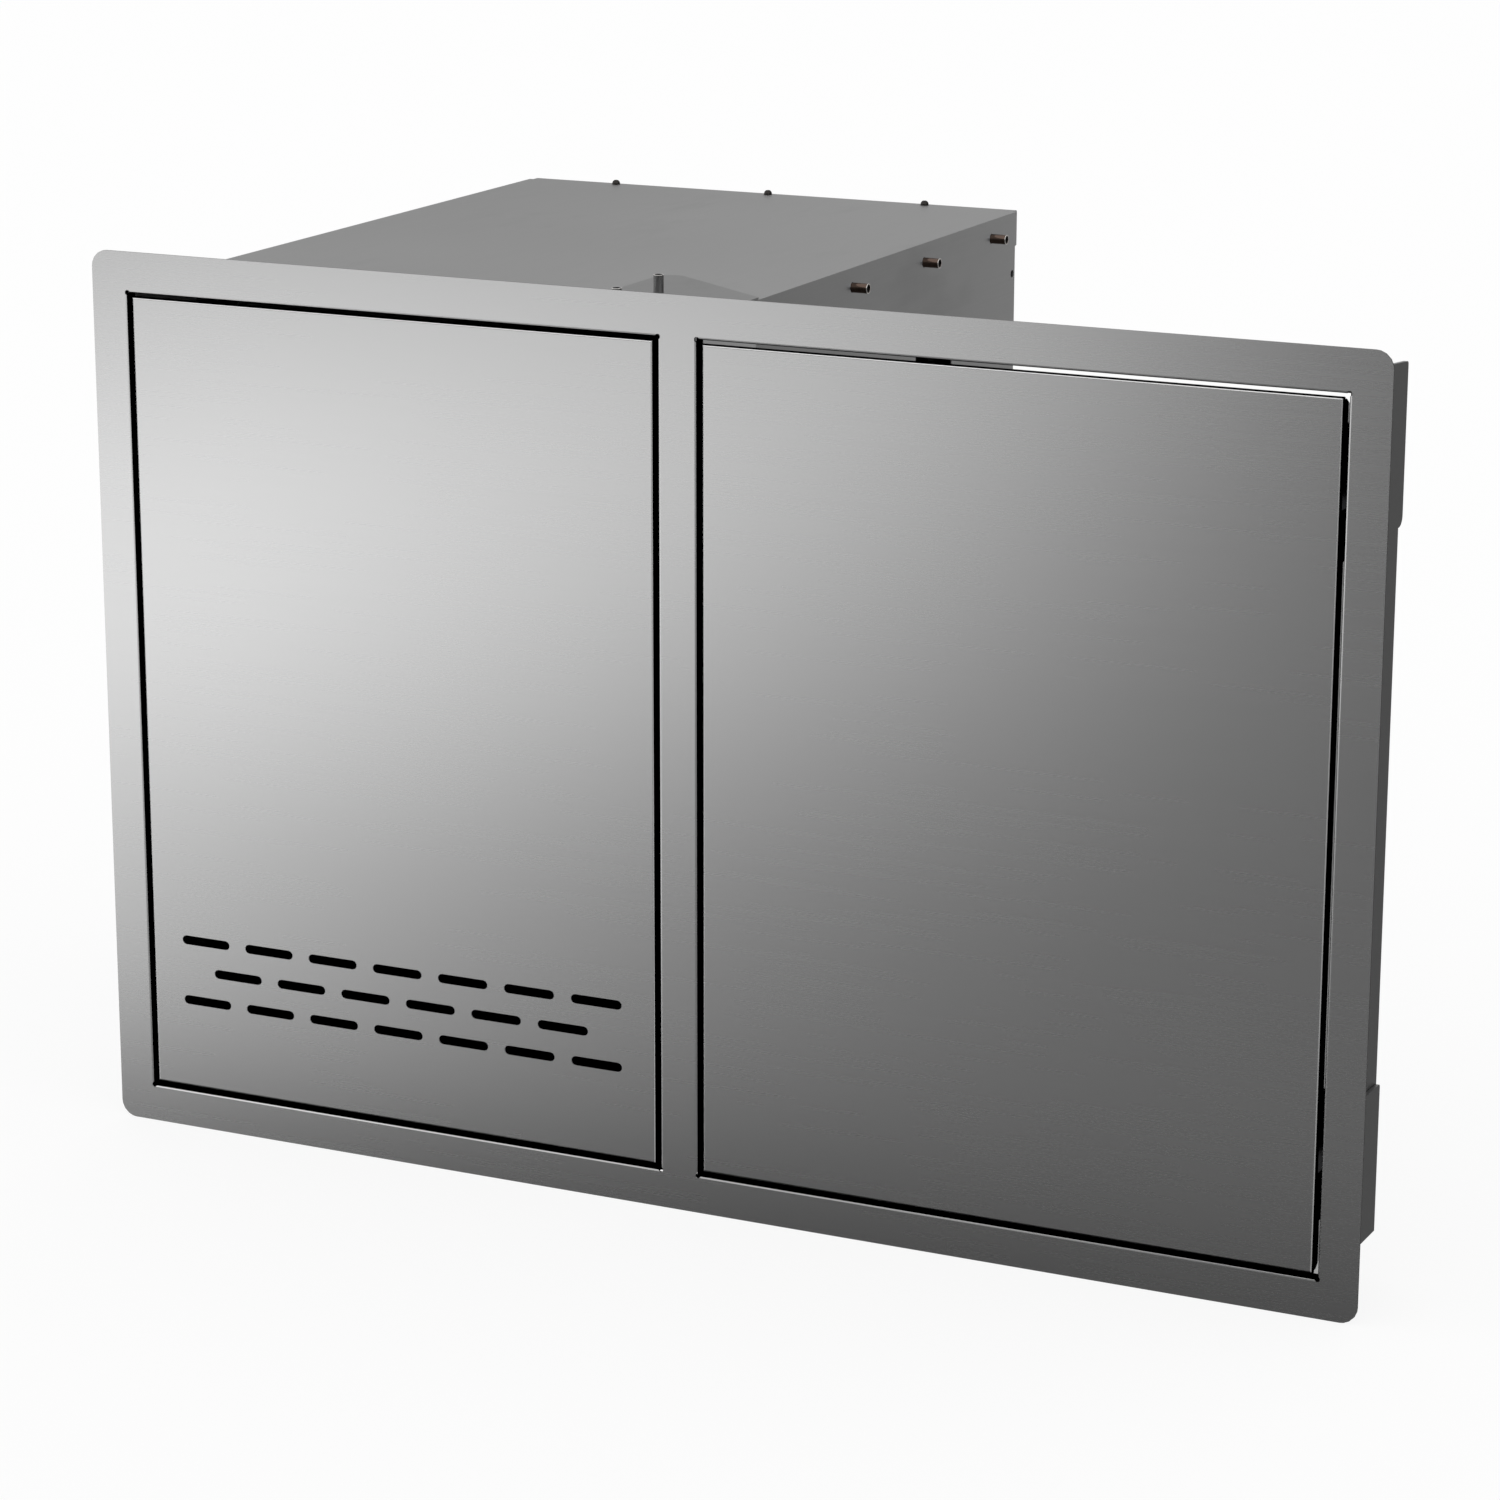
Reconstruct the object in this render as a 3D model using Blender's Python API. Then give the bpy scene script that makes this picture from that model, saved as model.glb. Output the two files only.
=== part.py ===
"""Built-in cabinet for an outdoor kitchen: a gas tank drawer beside a cupboard door.

One folded face frame fills a cut-out in a wall. Behind its left opening hangs a sheet-metal
enclosure with a full-height drawer on ball-bearing slides. Its right opening is closed by a
double-skinned door on gooseneck hinges. Both fronts lie flush and are let go by touch latches.

Metres, Z up. X runs to the right as seen from the front, Y runs back into the wall, and the
origin is the middle of the bottom margin, on the side of the frame that lies on the wall.
"""

import math

import bmesh
import bpy
from mathutils import Matrix, Vector

# Face frame
frame_width = 0.8384
frame_height = 0.56515
frame_corner = 0.0105
left_margin = 0.0252
right_margin = 0.0246
bottom_margin = 0.0242
top_margin = 0.0254
mullion_width = 0.0255
drawer_share = 0.48
collar_depth = 0.0788
collar_margin = 0.006
relief_hole = 0.0035

# Sheet metal
sheet = 0.0012
bend = 0.0003
hem_bend = 0.0003
seat = 0.0003
overrun = 0.002
weld = 0.000001

# Drawer front and door
front_depth = 0.020
drawer_gap_left = 0.0031
drawer_gap_right = 0.0030
drawer_gap_base = 0.0030
drawer_gap_top = 0.0022
door_gap_left = 0.0032
door_gap_right = 0.0030
door_gap_base = 0.0027
door_gap_top = 0.0022
top_lip = 0.0025
mitre_start = 0.0029
mitre_drop = 0.0111
liner_inset = 0.012
hinge_channel = 0.034

# Vents in the drawer front
slot_margin = 0.02254
slot_share = 0.752
slot_width = 0.00595
slot_row_pitch = 0.020
slot_base = 0.0586
slot_shift = 0.0006
slot_rows = (7, 6, 7)

# Enclosure behind the drawer
wall_offset = 0.0049
top_rise = 0.00315
top_overhang = 0.0081
top_flange = 0.024
top_inset = 0.0028
wall_flange = 0.015
floor_flange = 0.015
hem_width = 0.0034
hem_length = 0.012
back_inset = 0.005

# Openings in the right wall of the enclosure
hose_opening = 0.060
hose_corner = 0.006
hose_rear = 0.1088
hose_top_drop = 0.0696
wire_hole = 0.0052
wire_hole_rear = 0.0057
wire_hole_drop = 0.0417

# Rivet nuts, screws and rivets
nut_body = 0.0064
nut_bore = 0.0042
nut_flange = 0.0092
nut_flange_sheet = 0.0006
nut_length = 0.0111
nut_first_share = 0.1562
nut_pitch_share = 0.2518
nut_count = 4
nut_drop = 0.00945
screw_hole = 0.0042
rivet_head = 0.0057
rivet_height = 0.0028
rivet_shank = 0.0032
rivet_shank_length = 0.0040
rivet_setback = 0.0056
rivet_left_inset = 0.0683
rivet_right_inset = 0.0692
rivet_count = 3

# Corner brace with the drawer latch
brace_width = 0.0923
brace_near = 0.1258
brace_far = 0.1898
brace_corner = 0.010
brace_rise = 0.0003
latch_line = 0.0580
latch_nut_first = 0.0598
latch_nut_pitch = 0.0560
latch_nut_count = 2

# Slides
hanger_sheet = 0.0015
hanger_rise = 0.0085
slide_length = 0.450
slide_end_gap = 0.0031
slide_height = 0.045
slide_width = 0.0127
slide_drop = 0.0328
slide_sheet = 0.0012
slide_bend = 0.0010
slide_lip = 0.0042
lip_recess = 0.0005
ball_size = 0.0033
middle_start = 0.0030
middle_end = 0.0106
inner_end = 0.0052

# Drawer body
side_flange = 0.015
side_end_gap = 0.060
side_rise = 0.004
side_top_rise = 0.0185
window_front = 0.060
window_rear = 0.032
window_rise = 0.110
window_drop = 0.0340
window_corner = 0.030
floor_rise = 0.016
floor_fold = 0.012
rail_height = 0.090
rail_fold = 0.012
top_rail_fold = 0.025
tank_foot = 0.206
ring_sheet = 0.0015
ring_height = 0.025
ring_foot = 0.010
tank_setback = 0.172

# Hinges
hinge_inset = 0.013
hinge_depth = 0.009
arm_height = 0.014
arm_sheet = 0.003
arm_reach = 0.0194
arm_eye = 0.009
arm_play = 0.0005
notch_play = 0.00175
notch_start = 0.0034
upper_arm_drop = 0.05775
lower_arm_rise = 0.0707
arm_plate_height = 0.060
arm_plate_length = 0.045
arm_plate_corner = 0.004
arm_web_height = 0.038
arm_web_reach = 0.006
arm_web_step = 0.0003
arm_hole = 0.0045
arm_hole_inset = 0.010
arm_hole_rise = 0.020
pin_size = 0.004
pin_head = 0.007
pin_head_height = 0.0012
pin_tail = 0.0010
bracket_sheet = 0.002
bracket_width = 0.016
bracket_depth = 0.013
bracket_hole = 0.0035
bracket_hole_spread = 0.0045

# Stiffening of the hinge jamb
jamb_offset = 0.0061
jamb_rise = 0.00245
jamb_rear = 0.0774
backing_sheet = 0.0023
backing_front = 0.020
backing_rear = 0.0750
upper_backing_height = 0.0938
upper_backing_rise = 0.00665
upper_backing_slant = 0.0050
lower_backing_height = 0.0911
lower_backing_rise = 0.0055
backing_corner = 0.002
backing_heel = 0.006

# Touch latches
latch_width = 0.022
latch_height = 0.016
latch_corner = 0.002
drawer_latch_front = 0.040
drawer_latch_length = 0.092
door_latch_front = 0.028
door_latch_length = 0.048
plunger_size = 0.006
plunger_head = 0.009
plunger_head_length = 0.003
plunger_hold = 0.016
latch_travel = 0.003
strike_sheet = 0.0015
strike_reach = 0.026
strike_overlap = 0.0045
strike_width = 0.018

# Facets of round work
fold_steps = 3
bend_profile_share = 0.5
arc_steps = 5
small_sides = 12
relief_sides = 8
eye_sides = 16
ring_sides = 40

# Lines worked out from the sizes above
frame_left = -frame_width / 2
frame_right = frame_width / 2
frame_base = -bottom_margin / 2
frame_top = frame_base + frame_height
drawer_left = frame_left + left_margin
door_right = frame_right - right_margin
drawer_right = drawer_left + (door_right - drawer_left - mullion_width) * drawer_share
drawer_middle = (drawer_left + drawer_right) / 2
door_left = drawer_right + mullion_width
opening_base = frame_base + bottom_margin
opening_top = frame_top - top_margin
face = -sheet
front_rear = face + front_depth
case_top = opening_top + top_rise
case_base = opening_base - top_rise
case_left = drawer_left - wall_offset
case_right = drawer_right + wall_offset
nut_level = opening_top - nut_drop
hanger_face = wall_offset - sheet - nut_flange_sheet - 2 * seat
slide_face = hanger_face - hanger_sheet - seat
side_face = slide_face - slide_width - seat
slide_level = nut_level - slide_drop
slide_start = collar_depth + sheet
slide_end = slide_start + slide_length
wall_rear = slide_end + slide_end_gap
top_rear = wall_rear + top_overhang
side_rear = slide_end - side_end_gap
hinge_x = door_right - door_gap_right - hinge_inset
hinge_y = face + hinge_depth
latch_x = drawer_right - latch_line
latch_level = opening_top - 3 * seat - nut_flange_sheet - latch_height / 2
door_latch_x = door_left + seat + latch_width / 2
door_latch_level = (opening_base + opening_top) / 2
floor_top = opening_base + floor_rise
tank_middle = front_rear + tank_setback
upper_arm = opening_top - upper_arm_drop
lower_arm = opening_base + lower_arm_rise
upper_backing = opening_top + upper_backing_rise - upper_backing_height
lower_backing = opening_base + lower_backing_rise

# Finishes: colour, roughness, metallic
brushed_steel = ((0.56, 0.56, 0.55), 0.32, 1.0)
plain_steel = ((0.50, 0.50, 0.50), 0.42, 1.0)
zinc_steel = ((0.62, 0.63, 0.65), 0.28, 1.0)
dark_steel = ((0.16, 0.15, 0.14), 0.38, 1.0)
black_plastic = ((0.02, 0.02, 0.02), 0.50, 0.0)


def finish(name, look):
    """Material with one colour, roughness and metallic value."""
    colour, roughness, metallic = look
    material = bpy.data.materials.new(name + "_finish")
    material.use_nodes = True
    shader = material.node_tree.nodes["Principled BSDF"]
    shader.inputs["Base Color"].default_value = (*colour, 1.0)
    shader.inputs["Roughness"].default_value = roughness
    shader.inputs["Metallic"].default_value = metallic
    return material


def piece(bm, name, look, carrier=None, smooth=False):
    """Turns a drawn shape into a named piece, carried by an empty where it moves."""
    bmesh.ops.recalc_face_normals(bm, faces=bm.faces)
    mesh = bpy.data.meshes.new(name)
    bm.to_mesh(mesh)
    bm.free()
    if smooth:
        mesh.shade_smooth()
        mesh.set_sharp_from_angle(angle=math.radians(35))
    made = bpy.data.objects.new(name, mesh)
    bpy.context.scene.collection.objects.link(made)
    made.data.materials.append(finish(name, look))
    if carrier:
        made.parent = carrier
        made.matrix_parent_inverse = Matrix.Translation(-carrier.location)
    return made


def axis_empty(name, place):
    """Empty on the axis or the line of a moving body."""
    empty = bpy.data.objects.new(name, None)
    empty.location = place
    bpy.context.scene.collection.objects.link(empty)
    return empty


def joined(target, bm, operation="DIFFERENCE"):
    """Cuts a drawn shape out of a piece, or welds it on."""
    bmesh.ops.recalc_face_normals(bm, faces=bm.faces)
    mesh = bpy.data.meshes.new(target.name + "_tool")
    bm.to_mesh(mesh)
    bm.free()
    tool = bpy.data.objects.new(mesh.name, mesh)
    bpy.context.scene.collection.objects.link(tool)
    tool.hide_render = True
    tool.display_type = "WIRE"
    step = target.modifiers.new(operation.lower(), "BOOLEAN")
    step.operation = operation
    step.solver = "EXACT"
    step.object = tool


def at(plane, u, v, w):
    """Point from a drawing's own directions: plan is x, y, z; side is y, z, x; front is x, z, y."""
    if plane == "plan":
        return Vector((u, v, w))
    if plane == "side":
        return Vector((w, u, v))
    return Vector((u, w, v))


def rectangle(left, right, low, high):
    """Four corners of an upright rectangle."""
    return [(left, low), (right, low), (right, high), (left, high)]


def rounded(corners, radii):
    """Outline whose corners are arcs of the given radii; a zero keeps its corner sharp."""
    outline = []
    for index, corner in enumerate(corners):
        here = Vector(corner)
        back = (Vector(corners[index - 1]) - here).normalized()
        ahead = (Vector(corners[(index + 1) % len(corners)]) - here).normalized()
        radius = radii[index]
        if not radius:
            outline.append(here)
            continue
        half = back.angle(ahead) / 2
        centre = here + (back + ahead).normalized() * radius / math.sin(half)
        start = here + back * radius / math.tan(half) - centre
        end = here + ahead * radius / math.tan(half) - centre
        for step in range(arc_steps + 1):
            outline.append(centre + start.lerp(end, step / arc_steps).normalized() * radius)
    return outline


def stadium(middle, level, length, width):
    """Round-ended slot lying along the first direction."""
    outline = []
    for side in (1, -1):
        for step in range(arc_steps + 1):
            angle = math.pi * (step / arc_steps - 1 / 2)
            reach = side * ((length - width) / 2 + math.cos(angle) * width / 2)
            outline.append((middle + reach, level + side * math.sin(angle) * width / 2))
    return outline


def slab(bm, outline, plane, low, high):
    """Plate of a drawn outline between two levels."""
    base = bm.faces.new([bm.verts.new(at(plane, *point, low)) for point in outline])
    grown = bmesh.ops.extrude_face_region(bm, geom=[base], use_keep_orig=True)
    verts = [item for item in grown["geom"] if isinstance(item, bmesh.types.BMVert)]
    bmesh.ops.translate(bm, verts=verts, vec=at(plane, 0, 0, high - low))


def folded(path, thickness, side, inside=None):
    """Pairs of points on the two faces of a folded strip.

    The path is one face, drawn with sharp corners. Side is 1 where the metal lies to its left
    and -1 to its right. Each corner becomes two arcs about one centre, a thickness apart.
    """
    inside = bend if inside is None else inside
    points = [Vector(point) for point in path]
    pairs = []
    for index, here in enumerate(points):
        entering = (here - points[index - 1]).normalized() if index else None
        leaving = (points[index + 1] - here).normalized() if index + 1 < len(points) else None
        if entering is None or leaving is None:
            run = leaving or entering
            pairs.append((here, here + Vector((-run.y, run.x)) * side * thickness))
            continue
        left = 1 if entering.x * leaving.y > entering.y * leaving.x else -1
        radius = inside + thickness if left == side else inside
        angle = entering.angle(leaving)
        start = here - entering * radius * math.tan(angle / 2)
        centre = start + Vector((-entering.y, entering.x)) * left * radius
        for step in range(fold_steps + 1):
            run = Matrix.Rotation(left * angle * step / fold_steps, 2) @ entering
            normal = Vector((-run.y, run.x))
            point = centre - normal * left * radius
            pairs.append((point, point + normal * side * thickness))
    return pairs


def strip(bm, pairs, plane, low, high):
    """Folded strip drawn out between two levels."""
    rings = []
    for near, far in pairs:
        corners = ((near, low), (far, low), (far, high), (near, high))
        rings.append([bm.verts.new(at(plane, *point, level)) for point, level in corners])
    for one, two in zip(rings, rings[1:]):
        for index in range(4):
            after = (index + 1) % 4
            bm.faces.new((one[index], one[after], two[after], two[index]))
    bm.faces.new(rings[0])
    bm.faces.new(rings[-1])


def turned(bm, profile, centre, direction, sides=None, hollow=False):
    """Round work: pairs of radius and height spun about a line through the centre."""
    sides = sides or small_sides
    axis = Vector(direction)
    across = Matrix.Rotation(math.pi / sides, 3, axis) @ axis.orthogonal().normalized()
    verts = [bm.verts.new(Vector(centre) + across * radius + axis * height) for radius, height in profile]
    ends = verts[1:] + verts[:1] if hollow else verts[1:]
    edges = [bm.edges.new(pair) for pair in zip(verts, ends)]
    bmesh.ops.spin(bm, geom=verts + edges, cent=centre, axis=axis, angle=math.tau, steps=sides, use_merge=True)
    bmesh.ops.remove_doubles(bm, verts=bm.verts, dist=weld)


def rod(bm, size, start, end, direction, centre, sides=None):
    """Plain cylinder along a direction, from one height to another."""
    profile = [(0, start), (size / 2, start), (size / 2, end), (0, end)]
    turned(bm, profile, centre, direction, sides)


def mirrored(path):
    """Path on the other side of the drawer's middle line."""
    return [(2 * drawer_middle - u, v) for u, v in path]


def ring_of(bm, points):
    """Closed loop of vertices and its edges."""
    verts = [bm.verts.new(point) for point in points]
    edges = [bm.edges.new(pair) for pair in zip(verts, verts[1:] + verts[:1])]
    return verts, edges


def skin_between(bm, one, two):
    """Band of faces between two loops of as many vertices."""
    for index in range(len(one)):
        after = (index + 1) % len(one)
        bm.faces.new((one[index], one[after], two[after], two[index]))


def collar(bm, left, right):
    """Folded edge round an opening; gives back the edges where it joins the flat sheet."""
    pairs = folded([(collar_margin, face), (0, face), (0, collar_depth)], sheet, -1)
    profile = [near for near, far in pairs] + [far for near, far in reversed(pairs)]
    loops = []
    for out, depth in profile:
        corners = rectangle(left - out, right + out, opening_base - out, opening_top + out)
        loops.append(ring_of(bm, [(x, depth, z) for x, z in corners]))
    for one, two in zip(loops, loops[1:]):
        skin_between(bm, one[0], two[0])
    return loops[0][1], loops[-1][1]


def face_frame():
    """One sheet with two openings, whose edges are folded back into deep collars."""
    bm = bmesh.new()
    outline = rounded(rectangle(frame_left, frame_right, frame_base, frame_top), [frame_corner] * 4)
    front, front_edges = ring_of(bm, [(x, face, z) for x, z in outline])
    rear, rear_edges = ring_of(bm, [(x, 0, z) for x, z in outline])
    skin_between(bm, front, rear)
    for left, right in ((drawer_left, drawer_right), (door_left, door_right)):
        near, far = collar(bm, left, right)
        front_edges += near
        rear_edges += far
    for edges in (front_edges, rear_edges):
        bmesh.ops.triangle_fill(bm, edges=edges, use_beauty=True, normal=(0, -1, 0))
    frame = piece(bm, "face_frame", brushed_steel)
    cut = bmesh.new()
    for x in (drawer_left, drawer_right, door_left, door_right):
        for z in (opening_base, opening_top):
            rod(cut, relief_hole, face - overrun, bend + sheet, (0, 1, 0), (x, 0, z), sides=relief_sides)
    joined(frame, cut)
    cut = bmesh.new()
    rod(cut, nut_body + 2 * seat, opening_top - overrun, opening_top + sheet + overrun,
        (0, 0, 1), (latch_x, latch_nut_first, 0))
    joined(frame, cut)


def nut_places(x):
    """Centres of the slide nuts along the slide, at one distance across."""
    first = slide_start + nut_first_share * slide_length
    pitch = nut_pitch_share * slide_length
    return [(x, first + number * pitch, nut_level) for number in range(nut_count)]


def rivet_places():
    """Centres of the rivets along the rear edge of the top."""
    first = case_left + rivet_left_inset
    pitch = (case_right - rivet_right_inset - first) / (rivet_count - 1)
    return [(first + number * pitch, top_rear - rivet_setback, case_top) for number in range(rivet_count)]


def latch_nut_places(level):
    """Centres of the nuts that hold the drawer latch."""
    return [(latch_x, latch_nut_first + number * latch_nut_pitch, level) for number in range(latch_nut_count)]


def enclosure_wall(hand):
    """Side wall with a hemmed front edge and a rear flange; the right one has the hose opening."""
    hem_face = case_left + hem_width
    path = [(hem_face, hem_length), (hem_face, seat), (case_left, seat), (case_left, wall_rear),
            (case_left + wall_flange, wall_rear)]
    bm = bmesh.new()
    low, high = case_base, case_top - sheet - seat
    if hand == "left":
        strip(bm, folded(path, sheet, -1, hem_bend), "plan", low, high)
    else:
        strip(bm, folded(mirrored(path), sheet, 1, hem_bend), "plan", low, high)
    wall = piece(bm, "enclosure_wall_" + hand, brushed_steel)
    inner, outer = (case_left, -1) if hand == "left" else (case_right, 1)
    cut = bmesh.new()
    for centre in nut_places(inner):
        rod(cut, nut_body + 2 * seat, -sheet - overrun, overrun, (outer, 0, 0), centre)
    if hand == "right":
        centre = (inner, wall_rear - wire_hole_rear, case_top - wire_hole_drop)
        rod(cut, wire_hole, -sheet - overrun, overrun, (outer, 0, 0), centre)
        top = case_top - hose_top_drop
        rear = wall_rear - hose_rear
        hole = rectangle(rear - hose_opening, rear, top - hose_opening, top)
        slab(cut, rounded(hole, [hose_corner] * 4), "side", inner - sheet - overrun, inner + overrun)
    joined(wall, cut)


def enclosure_top():
    """Top sheet that butts on the collar; its narrower rear edge is folded down behind the back."""
    path = [(collar_depth + seat, case_top), (top_rear, case_top), (top_rear, case_top - top_flange)]
    bm = bmesh.new()
    strip(bm, folded(path, sheet, -1), "side", case_left, case_right)
    top = piece(bm, "enclosure_top", brushed_steel)
    cut = bmesh.new()
    for outer, inner in ((case_left - overrun, case_left + top_inset),
                         (case_right - top_inset, case_right + overrun)):
        corner = rectangle(outer, inner, wall_rear + seat, top_rear + overrun)
        slab(cut, corner, "plan", case_top - top_flange - overrun, case_top + overrun)
    for centre in rivet_places():
        rod(cut, rivet_shank + 2 * seat, -sheet - overrun, overrun, (0, 0, 1), centre)
    rod(cut, nut_body + 2 * seat, -sheet - overrun, overrun, (0, 0, 1), latch_nut_places(case_top)[-1])
    joined(top, cut)


def enclosure_floor():
    """Floor sheet between the walls, with its two sides folded up against them."""
    left = case_left + sheet + seat
    right = case_right - sheet - seat
    high = case_base + floor_flange
    bm = bmesh.new()
    path = [(left, high), (left, case_base), (right, case_base), (right, high)]
    rear = wall_rear - sheet - 2 * seat
    strip(bm, folded(path, sheet, 1), "front", collar_depth + seat, rear)
    piece(bm, "enclosure_floor", brushed_steel)


def enclosure_back():
    """Back sheet on the walls' rear flanges, folded back at its top for the rivets."""
    near = wall_rear + seat
    high = case_top - sheet - seat
    path = [(near, case_base + back_inset), (near, high), (top_rear - sheet - seat, high)]
    bm = bmesh.new()
    strip(bm, folded(path, sheet, -1), "side", case_left + back_inset, case_right - back_inset)
    back = piece(bm, "enclosure_back", brushed_steel)
    cut = bmesh.new()
    for centre in rivet_places():
        rod(cut, rivet_shank + 2 * seat, -2 * sheet - seat - overrun, overrun, (0, 0, 1), centre)
    joined(back, cut)


def top_rivets():
    """Dome rivets that hold the top to the back panel."""
    profile = [(0, -rivet_shank_length), (rivet_shank / 2, -rivet_shank_length), (rivet_shank / 2, seat)]
    for step in range(arc_steps):
        angle = math.pi / 2 * step / arc_steps
        profile.append((rivet_head / 2 * math.cos(angle), seat + rivet_height * math.sin(angle)))
    profile.append((0, seat + rivet_height))
    for number, centre in enumerate(rivet_places(), 1):
        bm = bmesh.new()
        turned(bm, profile, centre, (0, 0, 1))
        piece(bm, f"top_rivet_{number}", dark_steel, smooth=True)


def rivet_nut(name, centre, direction, grip):
    """Threaded insert: a thin flange inside, a bored body that stands out of the sheet."""
    far = grip + nut_length
    profile = [(nut_bore / 2, -seat - nut_flange_sheet), (nut_flange / 2, -seat - nut_flange_sheet),
               (nut_flange / 2, -seat), (nut_body / 2, -seat), (nut_body / 2, far), (nut_bore / 2, far)]
    bm = bmesh.new()
    turned(bm, profile, centre, direction, hollow=True)
    piece(bm, name, dark_steel, smooth=True)


def slide_nuts(hand):
    """Row of four rivet nuts that hold a slide hanger to its wall."""
    inner, outer = (case_left + sheet, -1) if hand == "left" else (case_right - sheet, 1)
    for number, centre in enumerate(nut_places(inner), 1):
        rivet_nut(f"slide_nut_{hand}_{number}", centre, (outer, 0, 0), sheet)


def slide_hanger(hand):
    """Flat carrier screwed to the nuts, with the slide below them."""
    outer, inward = (drawer_left - hanger_face, 1) if hand == "left" else (drawer_right + hanger_face, -1)
    bm = bmesh.new()
    low = slide_level - slide_height / 2
    outline = rectangle(slide_start, slide_end, low, nut_level + hanger_rise)
    slab(bm, outline, "side", outer, outer + inward * hanger_sheet)
    hanger = piece(bm, "slide_hanger_" + hand, plain_steel)
    cut = bmesh.new()
    for centre in nut_places(outer):
        rod(cut, screw_hole, -overrun, hanger_sheet + overrun, (inward, 0, 0), centre)
    joined(hanger, cut)


def slide_member(name, path, carrier=None):
    """One rolled member of a ball-bearing slide, drawn out to the slide's length."""
    bm = bmesh.new()
    strip(bm, folded(path, slide_sheet, 1, slide_bend), "front", slide_start, slide_end)
    piece(bm, name, zinc_steel, carrier)


def slide_set(hand, middle_carrier, drawer_carrier):
    """Three nested members: the outer on the hanger, the inner on the drawer, one between."""
    origin = drawer_left - slide_face
    half = slide_height / 2
    middle_half = half - slide_sheet - ball_size - 2 * seat
    inner_half = middle_half - slide_sheet - ball_size - 2 * seat
    edge = slide_width - lip_recess
    outer_path = [(edge, half - slide_lip), (edge, half), (0, half), (0, -half), (edge, -half),
                  (edge, slide_lip - half)]
    middle_path = [(middle_end, middle_half), (middle_start, middle_half), (middle_start, -middle_half),
                   (middle_end, -middle_half)]
    inner_path = [(inner_end, -inner_half), (slide_width, -inner_half), (slide_width, inner_half),
                  (inner_end, inner_half)]
    for name, path, carrier in (("slide_outer_", outer_path, None), ("slide_middle_", middle_path, middle_carrier),
                                ("slide_inner_", inner_path, drawer_carrier)):
        placed = [(origin + u, slide_level + v) for u, v in path]
        if hand == "right":
            placed = mirrored(placed)[::-1]
        slide_member(name + hand, placed, carrier)


def corner_brace():
    """Gusset plate on the collar and the top, with the latch nuts through it."""
    low = case_top + brace_rise
    left, right = case_right - brace_width, case_right
    outline = rounded([(left, seat), (right, seat), (right, brace_near), (left, brace_far)],
                      [0, 0, 0, brace_corner])
    bm = bmesh.new()
    slab(bm, outline, "plan", low, low + sheet)
    brace = piece(bm, "corner_brace", brushed_steel)
    cut = bmesh.new()
    for centre in latch_nut_places(low):
        rod(cut, nut_body + 2 * seat, -overrun, sheet + overrun, (0, 0, 1), centre)
    joined(brace, cut)


def latch_nuts():
    """Rivet nuts that hold the drawer latch under the brace."""
    grip = top_rise + brace_rise + sheet
    for number, centre in enumerate(latch_nut_places(opening_top), 1):
        rivet_nut(f"latch_nut_{number}", centre, (0, 0, 1), grip)


def flat_at(items, depth):
    """The faces or edges that lie wholly at one depth."""
    return [item for item in items if all(abs(vert.co.y - depth) < weld for vert in item.verts)]


def pan(name, look, outline, closed, opened, carrier):
    """Shallow box folded from one sheet, with its bottom at one depth and open at the other."""
    bm = bmesh.new()
    slab(bm, outline, "front", closed, opened)
    bmesh.ops.delete(bm, geom=flat_at(bm.faces, opened), context="FACES_ONLY")
    rim = flat_at(bm.edges, closed)
    bmesh.ops.bevel(bm, geom=rim, offset=bend + sheet, segments=fold_steps, profile=bend_profile_share,
                    affect="EDGES")
    made = piece(bm, name, look, carrier)
    wall = made.modifiers.new("sheet", "SOLIDIFY")
    wall.thickness = sheet
    wall.offset = -1
    wall.use_even_offset = True
    return made


def front_skin(name, left, right, low, high, carrier):
    """Outer skin of a front: a pan with mitred flanges and only a short lip at its top."""
    skin = pan(name, brushed_steel, rectangle(left, right, low, high), face, front_rear, carrier)
    start = face + mitre_start
    slope = mitre_drop / (front_depth - mitre_start)
    end = front_rear + overrun
    drop = slope * (end - start)
    upright = bmesh.new()
    level = bmesh.new()
    for z, up in ((low, -1), (high, 1)):
        wedge = [(start, z), (end, z - up * drop), (end, z + up * overrun), (start, z + up * overrun)]
        slab(upright, wedge, "side", left - overrun, left + sheet + seat)
        slab(upright, wedge, "side", right - sheet - seat, right + overrun)
    for x, out in ((left, -1), (right, 1)):
        wedge = [(x, start), (x - out * drop, end), (x + out * overrun, end), (x + out * overrun, start)]
        slab(level, wedge, "plan", low - overrun, low + sheet + seat)
    above = rectangle(left - overrun, right + overrun, high - sheet - seat, high + overrun)
    slab(level, above, "front", face + top_lip, end)
    joined(skin, upright)
    joined(skin, level)
    return skin


def front_liner(name, left, right, low, high, carrier):
    """Inner skin of a front: a pan whose rim meets the outer skin."""
    return pan(name, plain_steel, rectangle(left, right, low, high), front_rear, seat, carrier)


def vents(left, right, low):
    """Rows of round-ended slots, the middle row set between the slots of the others."""
    pitch = (right - left - 2 * slot_margin) / (max(slot_rows) - 1 + slot_share)
    middle = (left + right) / 2 - slot_shift
    slots = bmesh.new()
    for row, count in enumerate(slot_rows):
        for number in range(count):
            x = middle + (number - (count - 1) / 2) * pitch
            outline = stadium(x, low + slot_base + row * slot_row_pitch, slot_share * pitch, slot_width)
            slab(slots, outline, "front", face - overrun, front_rear + overrun)
    return slots


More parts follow.
